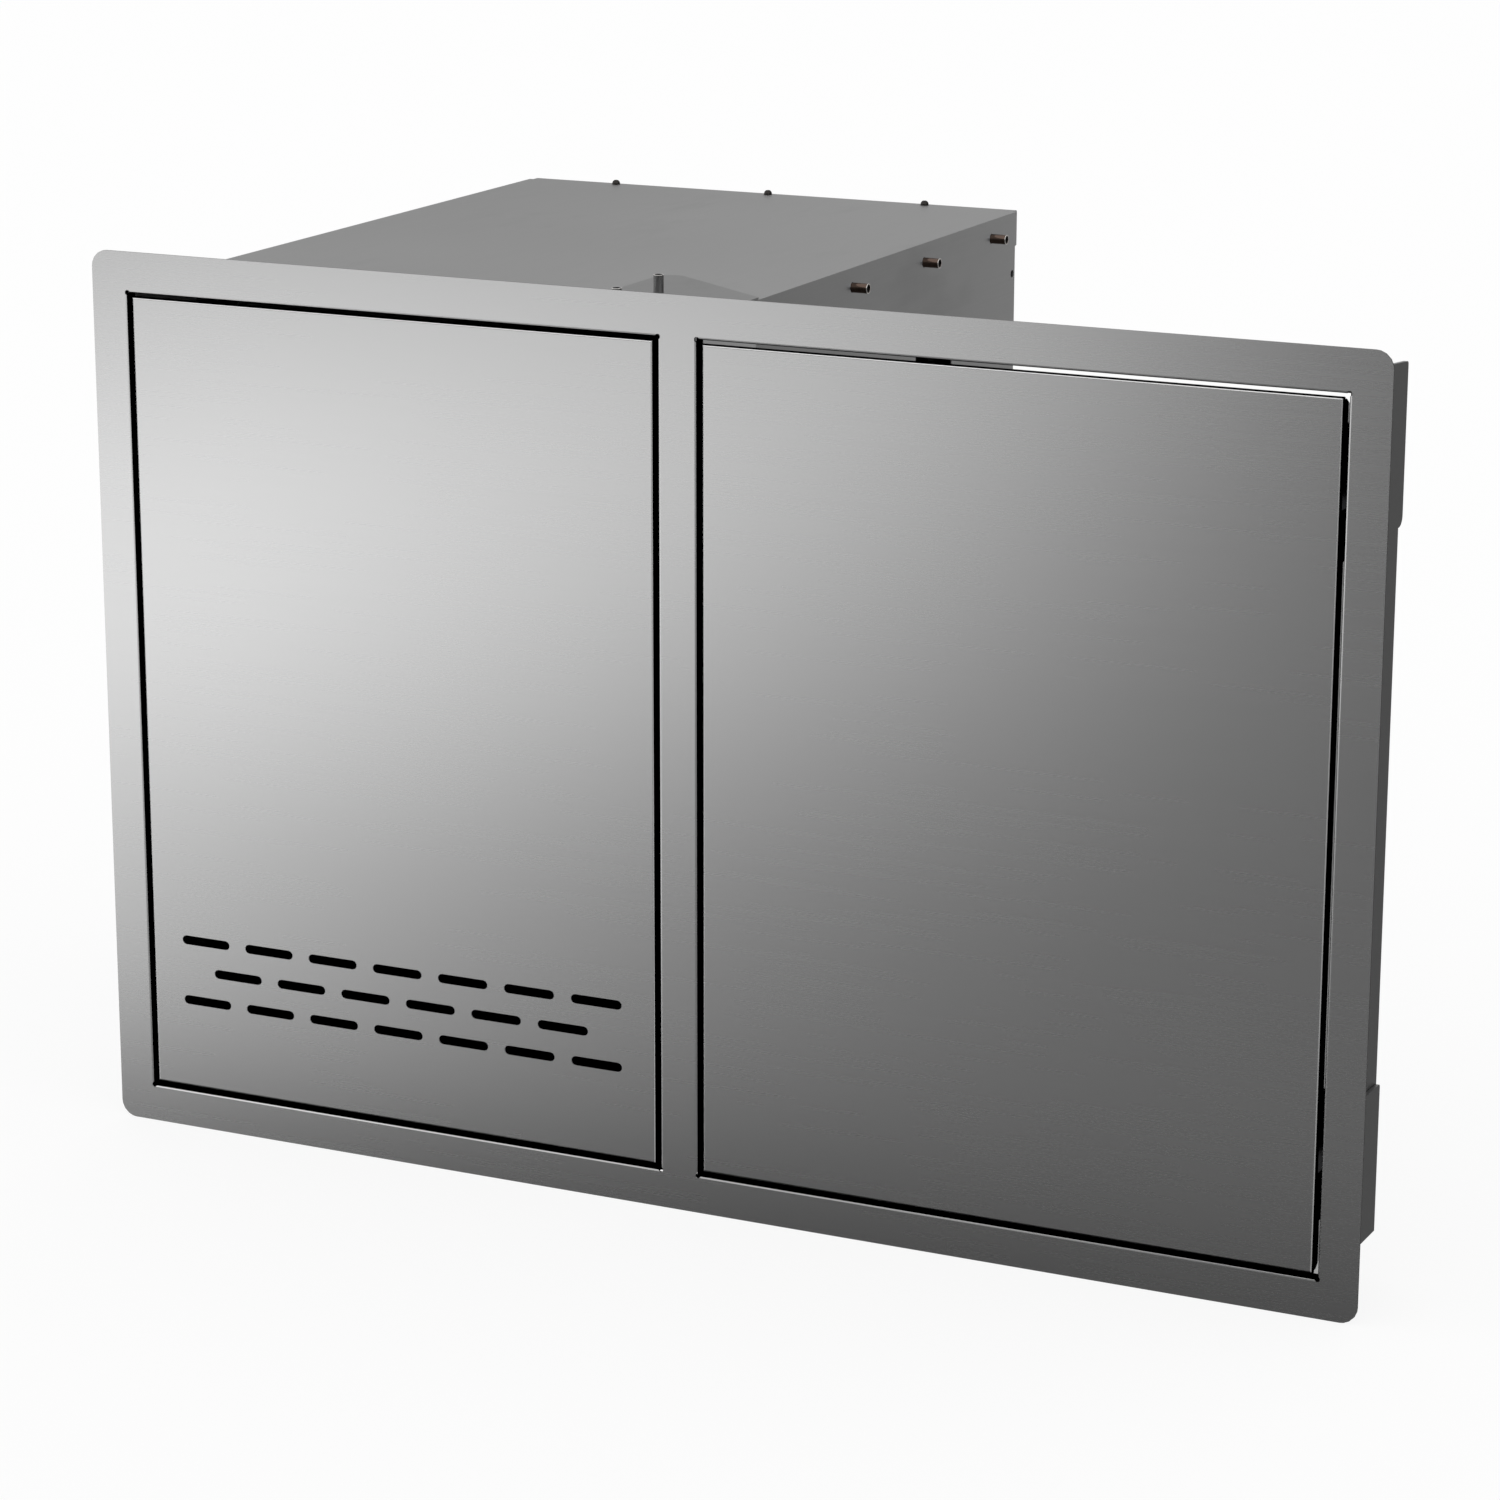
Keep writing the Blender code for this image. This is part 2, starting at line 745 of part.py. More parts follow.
def drawer_fronts(carrier):
    """Vented double skin of the drawer; the slots run through both sheets."""
    left = drawer_left + drawer_gap_left
    right = drawer_right - drawer_gap_right
    low = opening_base + drawer_gap_base
    high = opening_top - drawer_gap_top
    skin = front_skin("drawer_skin", left, right, low, high, carrier)
    liner = front_liner("drawer_liner", left + liner_inset, right - liner_inset, low + liner_inset,
                        high - liner_inset, carrier)
    for sheet_piece in (skin, liner):
        joined(sheet_piece, vents(left, right, low))


def drawer_side(hand, carrier):
    """Full-height side sheet, folded in at its front to meet the liner, with a window for the hose."""
    near = front_rear + seat
    x = drawer_left - side_face
    path = [(x + side_flange, near), (x, near), (x, side_rear)]
    bm = bmesh.new()
    low, high = opening_base + side_rise, slide_level + side_top_rise
    if hand == "left":
        strip(bm, folded(path, sheet, -1), "plan", low, high)
    else:
        strip(bm, folded(mirrored(path), sheet, 1), "plan", low, high)
    side = piece(bm, "drawer_side_" + hand, plain_steel, carrier)
    outer = x if hand == "left" else 2 * drawer_middle - x
    window = rectangle(near + window_front, side_rear - window_rear, floor_top + window_rise,
                       slide_level - window_drop)
    cut = bmesh.new()
    slab(cut, rounded(window, [window_corner] * 4), "side", outer - sheet - overrun, outer + sheet + overrun)
    joined(side, cut)


def drawer_floor(carrier):
    """Floor sheet that carries the tank, folded down inside both sides."""
    left = drawer_left - side_face + sheet + seat
    right = 2 * drawer_middle - left
    path = [(left, floor_top - floor_fold), (left, floor_top), (right, floor_top),
            (right, floor_top - floor_fold)]
    bm = bmesh.new()
    strip(bm, folded(path, sheet, -1), "front", front_rear + sheet + 2 * seat, side_rear)
    piece(bm, "drawer_floor", plain_steel, carrier)


def drawer_rails(carrier):
    """Two folded rails that tie the rear of the sides, one on the floor and one at the top."""
    left = drawer_left - side_face + sheet + seat
    right = 2 * drawer_middle - left
    base = floor_top + seat
    lower_path = [(side_rear, base), (side_rear, base + rail_height),
                  (side_rear - rail_fold, base + rail_height)]
    bm = bmesh.new()
    strip(bm, folded(lower_path, sheet, 1), "side", left, right)
    piece(bm, "drawer_rear_rail", plain_steel, carrier)
    high = slide_level + side_top_rise
    upper_path = [(side_rear, high - top_rail_fold), (side_rear, high), (side_rear - top_rail_fold, high)]
    bm = bmesh.new()
    strip(bm, folded(upper_path, sheet, 1), "side", left, right)
    piece(bm, "drawer_top_rail", plain_steel, carrier)


def tank_ring(carrier):
    """Upstanding ring that keeps the tank's foot in its place."""
    inner = tank_foot / 2
    outer = inner + ring_sheet
    base = floor_top + seat
    profile = [(inner, base), (outer + ring_foot, base), (outer + ring_foot, base + ring_sheet),
               (outer, base + ring_sheet), (outer, base + ring_height), (inner, base + ring_height)]
    bm = bmesh.new()
    turned(bm, profile, (drawer_middle, tank_middle, 0), (0, 0, 1), sides=ring_sides, hollow=True)
    piece(bm, "tank_ring", plain_steel, carrier, smooth=True)


def door_fronts(carrier):
    """Double skin of the door; the hinge flange is notched round both arms."""
    left = door_left + door_gap_left
    right = door_right - door_gap_right
    low = opening_base + door_gap_base
    high = opening_top - door_gap_top
    skin = front_skin("door_skin", left, right, low, high, carrier)
    front_liner("door_liner", left + liner_inset, right - hinge_channel, low + liner_inset, high - liner_inset,
                carrier)
    notches = bmesh.new()
    half = arm_height / 2 + notch_play
    for middle in (lower_arm, upper_arm):
        outline = rectangle(face + notch_start, front_rear + overrun, middle - half, middle + half)
        slab(notches, outline, "side", right - sheet - overrun, right + overrun)
    joined(skin, notches)


def hinge_arm(name, middle):
    """Gooseneck arm: an eye for the pin, a bent neck with a tall web, and a plate for the jamb."""
    low, high = middle - arm_height / 2, middle + arm_height / 2
    front = hinge_y + arm_reach
    rear = front + arm_sheet
    plate_right = door_right - seat
    plate_left = plate_right - arm_sheet
    near = hinge_x - arm_sheet / 2
    bm = bmesh.new()
    path = [(near, hinge_y), (near, rear), (plate_left + arm_sheet / 2, rear)]
    strip(bm, folded(path, arm_sheet, -1), "plan", low, high)
    arm = piece(bm, name + "_hinge_arm", zinc_steel)
    eye = bmesh.new()
    rod(eye, arm_eye, low, high, (0, 0, 1), (hinge_x, hinge_y, 0), sides=eye_sides)
    joined(arm, eye, "UNION")
    plate = bmesh.new()
    outline = rectangle(front, front + arm_plate_length, middle - arm_plate_height / 2,
                        middle + arm_plate_height / 2)
    slab(plate, rounded(outline, [arm_plate_corner] * 4), "side", plate_left, plate_right)
    joined(arm, plate, "UNION")
    web = bmesh.new()
    outline = rectangle(hinge_x - arm_web_reach, plate_left + arm_web_step, middle - arm_web_height / 2,
                        middle + arm_web_height / 2)
    slab(web, rounded(outline, [arm_plate_corner, 0, 0, arm_plate_corner]), "front", front + arm_web_step,
         rear - arm_web_step)
    joined(arm, web, "UNION")
    cut = bmesh.new()
    rod(cut, pin_size + 2 * seat, low - overrun, high + overrun, (0, 0, 1), (hinge_x, hinge_y, 0))
    for y in (front + arm_hole_inset, front + arm_plate_length - arm_hole_inset):
        for z in (middle - arm_hole_rise, middle + arm_hole_rise):
            rod(cut, arm_hole, -overrun, arm_sheet + overrun, (1, 0, 0), (plate_left, y, z))
    joined(arm, cut)


def hinge_bracket(name, middle, carrier):
    """Folded bracket inside the door's skin, with an ear above and below the arm."""
    outer = arm_height / 2 + arm_play + bracket_sheet
    reach = seat + bracket_depth
    path = [(reach, middle + outer), (seat, middle + outer), (seat, middle - outer), (reach, middle - outer)]
    bm = bmesh.new()
    strip(bm, folded(path, bracket_sheet, 1), "side", hinge_x - bracket_width / 2, hinge_x + bracket_width / 2)
    bracket = piece(bm, name + "_hinge_bracket", zinc_steel, carrier)
    cut = bmesh.new()
    rod(cut, pin_size + 2 * seat, middle - outer - overrun, middle + outer + overrun, (0, 0, 1),
        (hinge_x, hinge_y, 0))
    for z in (middle - bracket_hole_spread, middle + bracket_hole_spread):
        rod(cut, bracket_hole, seat - overrun, seat + bracket_sheet + overrun, (0, 1, 0), (hinge_x, 0, z))
    joined(bracket, cut)


def hinge_pin(name, middle, carrier):
    """Headed pin through both ears and the arm's eye."""
    outer = arm_height / 2 + arm_play + bracket_sheet
    low = middle - outer - pin_tail
    top = middle + outer + seat
    profile = [(0, low), (pin_size / 2, low), (pin_size / 2, top), (pin_head / 2, top),
               (pin_head / 2, top + pin_head_height), (0, top + pin_head_height)]
    bm = bmesh.new()
    turned(bm, profile, (hinge_x, hinge_y, 0), (0, 0, 1))
    piece(bm, name + "_hinge_pin", zinc_steel, carrier, smooth=True)


def jamb_channel():
    """Shallow channel that doubles the hinge side of the door's collar."""
    near = door_right + sheet + seat
    outer = door_right + jamb_offset
    path = [(near, seat), (outer, seat), (outer, jamb_rear), (near, jamb_rear)]
    bm = bmesh.new()
    strip(bm, folded(path, sheet, 1, hem_bend), "plan", lower_backing, opening_top + jamb_rise)
    piece(bm, "jamb_channel", brushed_steel)


def backing_plate(name, low, height, slant, heel):
    """Plate on the jamb channel behind one hinge; its top may rise to the front."""
    near = door_right + jamb_offset + seat
    outline = [(backing_front, low), (backing_rear, low), (backing_rear, low + height),
               (backing_front, low + height + slant)]
    bm = bmesh.new()
    slab(bm, rounded(outline, [0, heel, backing_corner, 0]), "side", near, near + backing_sheet)
    piece(bm, name + "_backing_plate", brushed_steel)


def touch_latch(name, x, level, start, length, width, height):
    """Latch case with a round mouth for its plunger."""
    bm = bmesh.new()
    outline = rounded(rectangle(x - width / 2, x + width / 2, level - height / 2, level + height / 2),
                      [latch_corner] * 4)
    slab(bm, outline, "front", start, start + length)
    case = piece(bm, name + "_latch_case", black_plastic)
    bore = bmesh.new()
    rod(bore, plunger_size + 2 * seat, start - overrun, start + plunger_hold + latch_travel + seat, (0, 1, 0),
        (x, 0, level))
    joined(case, bore)


def plunger(name, x, level, start, carrier):
    """Magnet-tipped plunger that meets its strike plate and slides into the case."""
    tip = front_rear + strike_sheet + 2 * seat
    profile = [(0, tip), (plunger_head / 2, tip), (plunger_head / 2, tip + plunger_head_length),
               (plunger_size / 2, tip + plunger_head_length), (plunger_size / 2, start + plunger_hold),
               (0, start + plunger_hold)]
    bm = bmesh.new()
    turned(bm, profile, (x, 0, level), (0, 1, 0))
    piece(bm, name + "_latch_plunger", black_plastic, carrier, smooth=True)


def strike_plate(name, outline, carrier):
    """Steel plate on a liner that the plunger's magnet holds."""
    bm = bmesh.new()
    near = front_rear + seat
    slab(bm, outline, "front", near, near + strike_sheet)
    piece(bm, name + "_strike_plate", zinc_steel, carrier)


def build():
    """The whole cabinet: fixed pieces first, then the drawer, the door and the latches."""
    face_frame()
    for hand in ("left", "right"):
        enclosure_wall(hand)
    enclosure_top()
    enclosure_floor()
    enclosure_back()
    top_rivets()
    corner_brace()
    latch_nuts()
    drawer_line = axis_empty("drawer_line", (drawer_middle, 0, slide_level))
    for hand, x in (("left", drawer_left), ("right", drawer_right)):
        slide_nuts(hand)
        slide_hanger(hand)
        middle_line = axis_empty("slide_middle_line_" + hand, (x, 0, slide_level))
        slide_set(hand, middle_line, drawer_line)
        drawer_side(hand, drawer_line)
    drawer_fronts(drawer_line)
    drawer_floor(drawer_line)
    drawer_rails(drawer_line)
    tank_ring(drawer_line)
    half = strike_width / 2
    upright = rectangle(latch_x - half, latch_x + half, latch_level - strike_reach, latch_level + strike_overlap)
    strike_plate("drawer", upright, drawer_line)

    hinge_axis = axis_empty("hinge_axis", (hinge_x, hinge_y, door_latch_level))
    door_fronts(hinge_axis)
    jamb_channel()
    for name, middle in (("upper", upper_arm), ("lower", lower_arm)):
        hinge_arm(name, middle)
        hinge_bracket(name, middle, hinge_axis)
        hinge_pin(name, middle, hinge_axis)
    backing_plate("upper", upper_backing, upper_backing_height, upper_backing_slant, backing_heel)
    backing_plate("lower", lower_backing, lower_backing_height, 0, 0)
    sideways = rectangle(door_latch_x - strike_overlap, door_latch_x + strike_reach, door_latch_level - half,
                         door_latch_level + half)
    strike_plate("door", sideways, hinge_axis)

    touch_latch("drawer", latch_x, latch_level, drawer_latch_front, drawer_latch_length, latch_width, latch_height)
    touch_latch("door", door_latch_x, door_latch_level, door_latch_front, door_latch_length, latch_width,
                latch_height)
    drawer_push = axis_empty("drawer_latch_line", (latch_x, 0, latch_level))
    door_push = axis_empty("door_latch_line", (door_latch_x, 0, door_latch_level))
    plunger("drawer", latch_x, latch_level, drawer_latch_front, drawer_push)
    plunger("door", door_latch_x, door_latch_level, door_latch_front, door_push)


for thing in list(bpy.data.objects):
    bpy.data.objects.remove(thing, do_unlink=True)
build()
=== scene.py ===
# %% [markdown]
# # A gas tank cabinet in stainless steel
#
# The real object is a cabinet front for an outdoor kitchen. One folded steel frame holds a vented
# drawer for a gas tank and a door beside it, and a sheet-metal box behind the drawer keeps the tank
# apart from the rest. The shapes come from the CAD frame that is loaded here. This lesson gives
# each sheet, screw and ball its finish, and sets up the studio that steel needs.

# %% Load the fixed frame
import math

import bmesh
import bpy
import numpy as np
from mathutils import Matrix, Vector


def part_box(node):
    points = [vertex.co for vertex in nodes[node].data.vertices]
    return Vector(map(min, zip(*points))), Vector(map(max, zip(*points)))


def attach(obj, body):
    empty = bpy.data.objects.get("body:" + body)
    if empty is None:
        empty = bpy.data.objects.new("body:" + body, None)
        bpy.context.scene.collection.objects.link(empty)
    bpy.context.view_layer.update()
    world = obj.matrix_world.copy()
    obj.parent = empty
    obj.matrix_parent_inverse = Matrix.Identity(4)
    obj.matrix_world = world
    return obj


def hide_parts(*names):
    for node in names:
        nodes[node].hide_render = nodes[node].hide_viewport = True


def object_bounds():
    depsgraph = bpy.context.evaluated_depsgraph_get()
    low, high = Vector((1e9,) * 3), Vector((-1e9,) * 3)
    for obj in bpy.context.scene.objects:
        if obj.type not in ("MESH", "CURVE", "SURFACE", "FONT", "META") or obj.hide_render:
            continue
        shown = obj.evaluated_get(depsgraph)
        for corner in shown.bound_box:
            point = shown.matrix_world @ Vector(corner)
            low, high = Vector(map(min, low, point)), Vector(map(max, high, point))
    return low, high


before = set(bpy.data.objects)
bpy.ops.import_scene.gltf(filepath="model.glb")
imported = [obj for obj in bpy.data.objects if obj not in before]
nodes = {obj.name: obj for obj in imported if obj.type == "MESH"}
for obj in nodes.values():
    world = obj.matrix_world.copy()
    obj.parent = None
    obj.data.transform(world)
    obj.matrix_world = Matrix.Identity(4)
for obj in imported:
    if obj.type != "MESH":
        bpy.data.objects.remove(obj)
cad_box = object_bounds()

# %% [markdown]
# ## The camera
#
# Brushed steel shows almost nothing but reflections, so the eye has to stand exactly where the
# photographer's did. The place and the turn of the camera were worked out from the straight edges
# of the cabinet: three directions at right angles fix the lens and the view. The lens is long, and
# the frame is shifted a little instead of tilted, which keeps the uprights as they are.

# %% Camera
lens_mm = 112.36
view_right = Vector((0.8962785, 0.4434871, -0.0020183))
view_down = Vector((0.1180703, -0.2429996, -0.9628139))
view_ahead = Vector((-0.4274860, 0.8627111, -0.2701580))
view_place = Vector((1.19076, -2.41841, 0.99456))

lens = bpy.data.cameras.new("view")
lens.lens = lens_mm
lens.sensor_width = 36
lens.shift_x = 0.03987
lens.shift_y = 0.04617
lens.clip_end = 60
camera = bpy.data.objects.new("view", lens)
turn = Matrix((view_right, -view_down, -view_ahead)).transposed().to_4x4()
camera.matrix_world = Matrix.Translation(view_place) @ turn
bpy.context.scene.collection.objects.link(camera)
bpy.context.scene.camera = camera
bpy.context.scene.view_settings.view_transform = "Standard"
print("lens", lens_mm, "mm from", tuple(round(v, 3) for v in view_place))

# %% [markdown]
# ## Sums on a surface
#
# A finish is a sum of patterns: a base tone, plus a little grain, minus a little dirt. In Blender
# each plus and minus is a Math node. The small class here wraps a number that varies over the
# surface and adds those nodes when Python's own signs are used on it, so that a finish reads as
# the formula that it is.

# %% A number on a surface
class Value:
    """A number that varies over a surface; arithmetic on it adds Math nodes."""

    def __init__(self, finish, socket):
        self.finish = finish
        self.socket = socket

    def math(self, operation, *others, first=None):
        """One Math node, with this value first unless another comes before it."""
        inputs = [self, *others] if first is None else [first, self]
        made = self.finish.node("ShaderNodeMath", {"operation": operation}, dict(enumerate(inputs)))
        return Value(self.finish, made.outputs[0])

    def __add__(self, other):
        return self.math("ADD", other)

    def __sub__(self, other):
        return self.math("SUBTRACT", other)

    def __mul__(self, other):
        return self.math("MULTIPLY", other)

    def __truediv__(self, other):
        return self.math("DIVIDE", other)

    def __neg__(self):
        return self.math("MULTIPLY", -1.0)

    def __gt__(self, other):
        return self.math("GREATER_THAN", other)

    def __radd__(self, other):
        return self.math("ADD", first=other)

    def __rsub__(self, other):
        return self.math("SUBTRACT", first=other)

    def __rmul__(self, other):
        return self.math("MULTIPLY", first=other)

    def __rtruediv__(self, other):
        return self.math("DIVIDE", first=other)


print("a value takes the signs + - * / and >, and a minus before it")

# %% A finish and its nodes
headroom = 1.3


class Finish:
    """The nodes of one material, with its Principled shader."""

    def __init__(self, name, colour, roughness, metallic=1.0, **constants):
        self.material = bpy.data.materials.new(name)
        self.material.use_nodes = True
        self.tree = self.material.node_tree
        self.shader = self.tree.nodes["Principled BSDF"]
        self.colour = colour
        constants |= {"Base Color": (*colour, 1.0), "Roughness": roughness, "Metallic": metallic}
        for socket, value in constants.items():
            self.shader.inputs[socket].default_value = value

    def node(self, kind, settings=None, inputs=None):
        """Any node: its settings first, then the values or links of its sockets."""
        made = self.tree.nodes.new(kind)
        for name, value in (settings or {}).items():
            setattr(made, name, value)
        for key, value in (inputs or {}).items():
            if isinstance(value, Value):
                self.tree.links.new(value.socket, made.inputs[key])
            else:
                made.inputs[key].default_value = value
        return made

    def parts(self, socket):
        """X, Y and Z of a vector's socket, as three values."""
        made = self.node("ShaderNodeSeparateXYZ", None, {0: Value(self, socket)})
        return [Value(self, made.outputs[axis]) for axis in range(3)]

    def place(self):
        """Object coordinates as three values and one vector."""
        where = self.node("ShaderNodeTexCoord").outputs["Object"]
        return [*self.parts(where), Value(self, where)]

    def vector(self, x, y, z):
        """Three numbers or values put together as one vector."""
        return Value(self, self.node("ShaderNodeCombineXYZ", None, {0: x, 1: y, 2: z}).outputs[0])

    def noise(self, where, scale, detail=2.0, rough=0.5):
        """Soft noise from 0 to 1 at a vector."""
        made = self.node("ShaderNodeTexNoise", None,
                         {"Vector": where, "Scale": scale, "Detail": detail, "Roughness": rough})
        return Value(self, made.outputs["Fac"])

    def cells(self, where, scale):
        """Flat tone of each cell of a random mosaic, from 0 to 1."""
        made = self.node("ShaderNodeTexVoronoi", None, {"Vector": where, "Scale": scale})
        tone = self.node("ShaderNodeSeparateColor", None, {0: Value(self, made.outputs["Color"])})
        return Value(self, tone.outputs[0])

    def step(self, value, low, high):
        """Smooth rise from 0 to 1 between two levels."""
        made = self.node("ShaderNodeMapRange", {"interpolation_type": "SMOOTHSTEP"},
                         {"Value": value, "From Min": low, "From Max": high})
        return Value(self, made.outputs["Result"])

    def tint(self, amount, start, end):
        """From a colour, or a tint worked out already, to another colour; the amount is 0 to 1."""
        start = start if isinstance(start, Value) else (*start, 1.0)
        made = self.node("ShaderNodeMix", {"data_type": "RGBA"},
                         {"Factor": amount, "A": start, "B": (*end, 1.0)})
        return Value(self, made.outputs["Result"])

    def bump(self, height, distance):
        """Dents and grain: a height of 0 to 1 times a distance, sent to the shader's normal."""
        made = self.node("ShaderNodeBump", None, {"Height": height, "Distance": distance})
        self.set("Normal", Value(self, made.outputs["Normal"]))

    def set(self, socket, value):
        """Sends a value to one socket of the shader."""
        self.tree.links.new(value.socket, self.shader.inputs[socket])

    def shade(self, amount):
        """Base colour times a value from 0 to the headroom."""
        light = tuple(headroom * c for c in self.colour)
        self.set("Base Color", self.tint(amount / headroom, (0.0, 0.0, 0.0), light))

    def tone(self):
        """The tone that a turned piece carries along its profile, in its own UV map."""
        return self.parts(self.node("ShaderNodeUVMap", {"uv_map": "tone"}).outputs["UV"])[1]


print("sums on a surface are ready")

# %% [markdown]
# ## Brushed steel
#
# The sheet for the frame and the fronts is brushed along its length before it is cut and folded.
# Every scratch is a fraction of a millimetre wide, some centimetres long and a thousandth or two
# deep. Noise squeezed hard in one direction gives just that. On an upright face the grain changes
# with height, and on a level fold it changes with depth, because the fold was flat when it was
# brushed. The shader's own anisotropy spreads the reflections across the grain.

# %% Brushed grain
grain_along, grain_across = 16.0, 2600.0
broad_longer, broad_wider = 3, 7
level_limit, front_limit = 0.6, 0.5


def facing(finish):
    """The three parts of the surface's normal."""
    return finish.parts(finish.node("ShaderNodeNewGeometry").outputs["Normal"])


def grain(finish):
    """Fine and broad lines: noise that is slow along the brushing and quick across it."""
    x, y, z, where = finish.place()
    level = facing(finish)[2].math("ABSOLUTE") > level_limit
    height = z * (1 - level) + y * level
    fine = finish.vector(x * grain_along, y * grain_along, height * grain_across)
    broad = finish.vector(x * grain_along / broad_longer, y * grain_along / broad_longer,
                          height * grain_across / broad_wider)
    return finish.noise(fine, 1.0, 3.0, 0.6), finish.noise(broad, 1.0, 2.0), where


print("grain:", grain_along, "to a metre along the brushing and", grain_across, "across it")

# %% [markdown]
# ## The edges of the sheets
#
# The outline of the frame was cut on a shear, after the brushing. A sheared edge is torn and dull,
# so the narrow faces round the frame's rim are rougher. Their colour is darkened as well, which is a
# painted shade. The edges of the two fronts were folded and then eased with a fine belt, which
# leaves a slope about a millimetre wide, and a painted highlight brightens that slope's colour. The
# distance to the nearer edge gives the height of that slope, for both fronts in one formula.

# %% Sheared and eased edges
rim_right, rim_top, rim_base = 0.4090, 0.5425, -0.0015
ease_width, ease_slope, bend_width = 0.0012, 0.5, 0.0003


def rim_shade_and_dull_mask(finish):
    """1 on the narrow faces round the frame's rim, 0 elsewhere."""
    x, _, z, _ = finish.place()
    past_side = x.math("ABSOLUTE") - rim_right
    outside = past_side.math("MAXIMUM", z - rim_top).math("MAXIMUM", rim_base - z) > 0
    across = 1 - (facing(finish)[1].math("ABSOLUTE") > front_limit)
    return outside * across


def spread(low, high):
    """Middle and half width of what lies between two ends."""
    return (low + high) / 2, (high - low) / 2


def eased(finish):
    """Rise from 0 over the last millimetre before a front's edge, level over the real bend."""
    x, _, z, _ = finish.place()
    (drawer_low, drawer_high), (door_low, door_high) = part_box("drawer_skin"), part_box("door_skin")
    middle, half = spread(drawer_low.x, drawer_high.x)
    door_middle, door_half = spread(door_low.x, door_high.x)
    level, half_height = spread(drawer_low.z, drawer_high.z)
    on_door = x > (drawer_high.x + door_low.x) / 2
    from_middle = (x - middle - on_door * (door_middle - middle)).math("ABSOLUTE")
    from_side = on_door * (door_half - half) + half - from_middle
    from_end = half_height - (z - level).math("ABSOLUTE")
    share = 1 - from_side.math("MINIMUM", from_end) / ease_width
    return share.math("MAXIMUM", 0.0).math("MINIMUM", 1 - bend_width / ease_width)


print("eased edges:", ease_width, "m wide")

# %% Brushed finishes
grain_depth, grain_contrast = 0.0000016, 0.042
# The first number darkens the colour of the frame's rim faces as painted shade, the second makes
# them rougher, and the third brightens the colour of the fronts' eased edges as a painted highlight.
rim_painted_shade, shear_dull, ease_painted_highlight = 0.62, 0.2, 0.25


def brushed(name, colour, roughness, shaded_cut_edges=False, eased_highlit_edges=False):
    """Steel with brushed lines and a slow cloudiness; cut edges get painted shade, eased ones a
    painted highlight.
    """
    finish = Finish(name, colour, roughness, Anisotropic=0.55)
    fine, broad, where = grain(finish)
    cloud = finish.noise(where, 5.0, 2.0)
    amount = (1 + (fine - 0.5) * grain_contrast + (broad - 0.5) * grain_contrast * 0.6
              + (cloud - 0.5) * 0.04)
    rough = roughness + (broad - 0.5) * 0.04 + (cloud - 0.5) * 0.03
    if shaded_cut_edges:
        edge = rim_shade_and_dull_mask(finish)
        # Painted shade: the rim faces' colour is darkened. The added roughness on the next line is
        # the rim's real dullness.
        amount = amount * (1 - edge * rim_painted_shade)
        rough = rough + edge * shear_dull
    if eased_highlit_edges:
        slope = eased(finish)
        # Painted highlight: the colour of the eased slope is brightened. The bump on the next line
        # tilts the slope for real.
        amount = amount + (slope > 0) * ease_painted_highlight
        fine = fine - slope * (ease_width * ease_slope / grain_depth)
    finish.shade(amount)
    finish.set("Roughness", rough)
    finish.bump(fine, grain_depth)
    return finish.material


frame_finish = brushed("brushed_frame_steel", (0.66, 0.66, 0.66), 0.27, shaded_cut_edges=True)
front_finish = brushed("brushed_front_steel", (0.66, 0.66, 0.66), 0.27, eased_highlit_edges=True)
print("brushed:", frame_finish.name, front_finish.name)

# %% [markdown]
# ## Plain sheet
#
# The box behind the drawer is of thinner sheet with a mill finish. It isn't brushed, so it is
# greyer and duller, with slow clouds from the rolls and a faint grain along the coil. Where hands
# and tools have touched it, it has faint, dull smears.

# %% Mill finish
def mill(name, colour, roughness):
    """Rolled sheet: clouds from the rolls, faint grain along Y, and smears from handling."""
    finish = Finish(name, colour, roughness)
    x, y, z, where = finish.place()
    clouds = finish.noise(where, 7.0, 3.0)
    rolled = finish.noise(finish.vector(x * 900, y * 12, z * 900), 1.0, 2.0)
    hands = finish.noise(finish.vector(x * 9, y * 4 + 3, z * 9), 1.0, 4.0, 0.7)
    smears = finish.step(hands, 0.55, 0.75)
    finish.shade(1 + (clouds - 0.5) * 0.10 + (rolled - 0.5) * 0.06 - smears * 0.03)
    finish.set("Roughness", roughness + (clouds - 0.5) * 0.08 + smears * 0.06)
    finish.bump(rolled, 0.000006)
    return finish.material


case_finish = mill("mill_case_steel", (0.40, 0.40, 0.40), 0.46)
brace_finish = mill("mill_brace_steel", (0.29, 0.29, 0.29), 0.38)
jamb_finish = mill("mill_jamb_steel", (0.34, 0.34, 0.34), 0.38)
inner_finish = mill("mill_inner_steel", (0.45, 0.45, 0.45), 0.36)
print("mill:", case_finish.name, brace_finish.name, jamb_finish.name, inner_finish.name)

# %% [markdown]
# ## Zinc plating
#
# Slides and hinges are cold-rolled steel with a plating of zinc. It is cool and glossy, with soft
# flecks where the crystals lie in different directions. The slides and screws have it bright. The
# hinges are coloured near-black as painted shade, so that they look as dark as the gap they sit in.

# %% Zinc
def zinc(name, colour, roughness):
    """Plating with flecks of tone from a random mosaic, under a fine haze."""
    finish = Finish(name, colour, roughness)
    *_, where = finish.place()
    flecks = finish.cells(where, 420.0)
    haze = finish.noise(where, 60.0, 3.0)
    finish.shade(1 + (flecks - 0.5) * 0.10 + (haze - 0.5) * 0.12)
    finish.set("Roughness", roughness + (flecks - 0.5) * 0.08 + (haze - 0.5) * 0.10)
    finish.bump(haze, 0.000008)
    return finish.material


zinc_finish = zinc("bright_zinc", (0.60, 0.61, 0.63), 0.27)
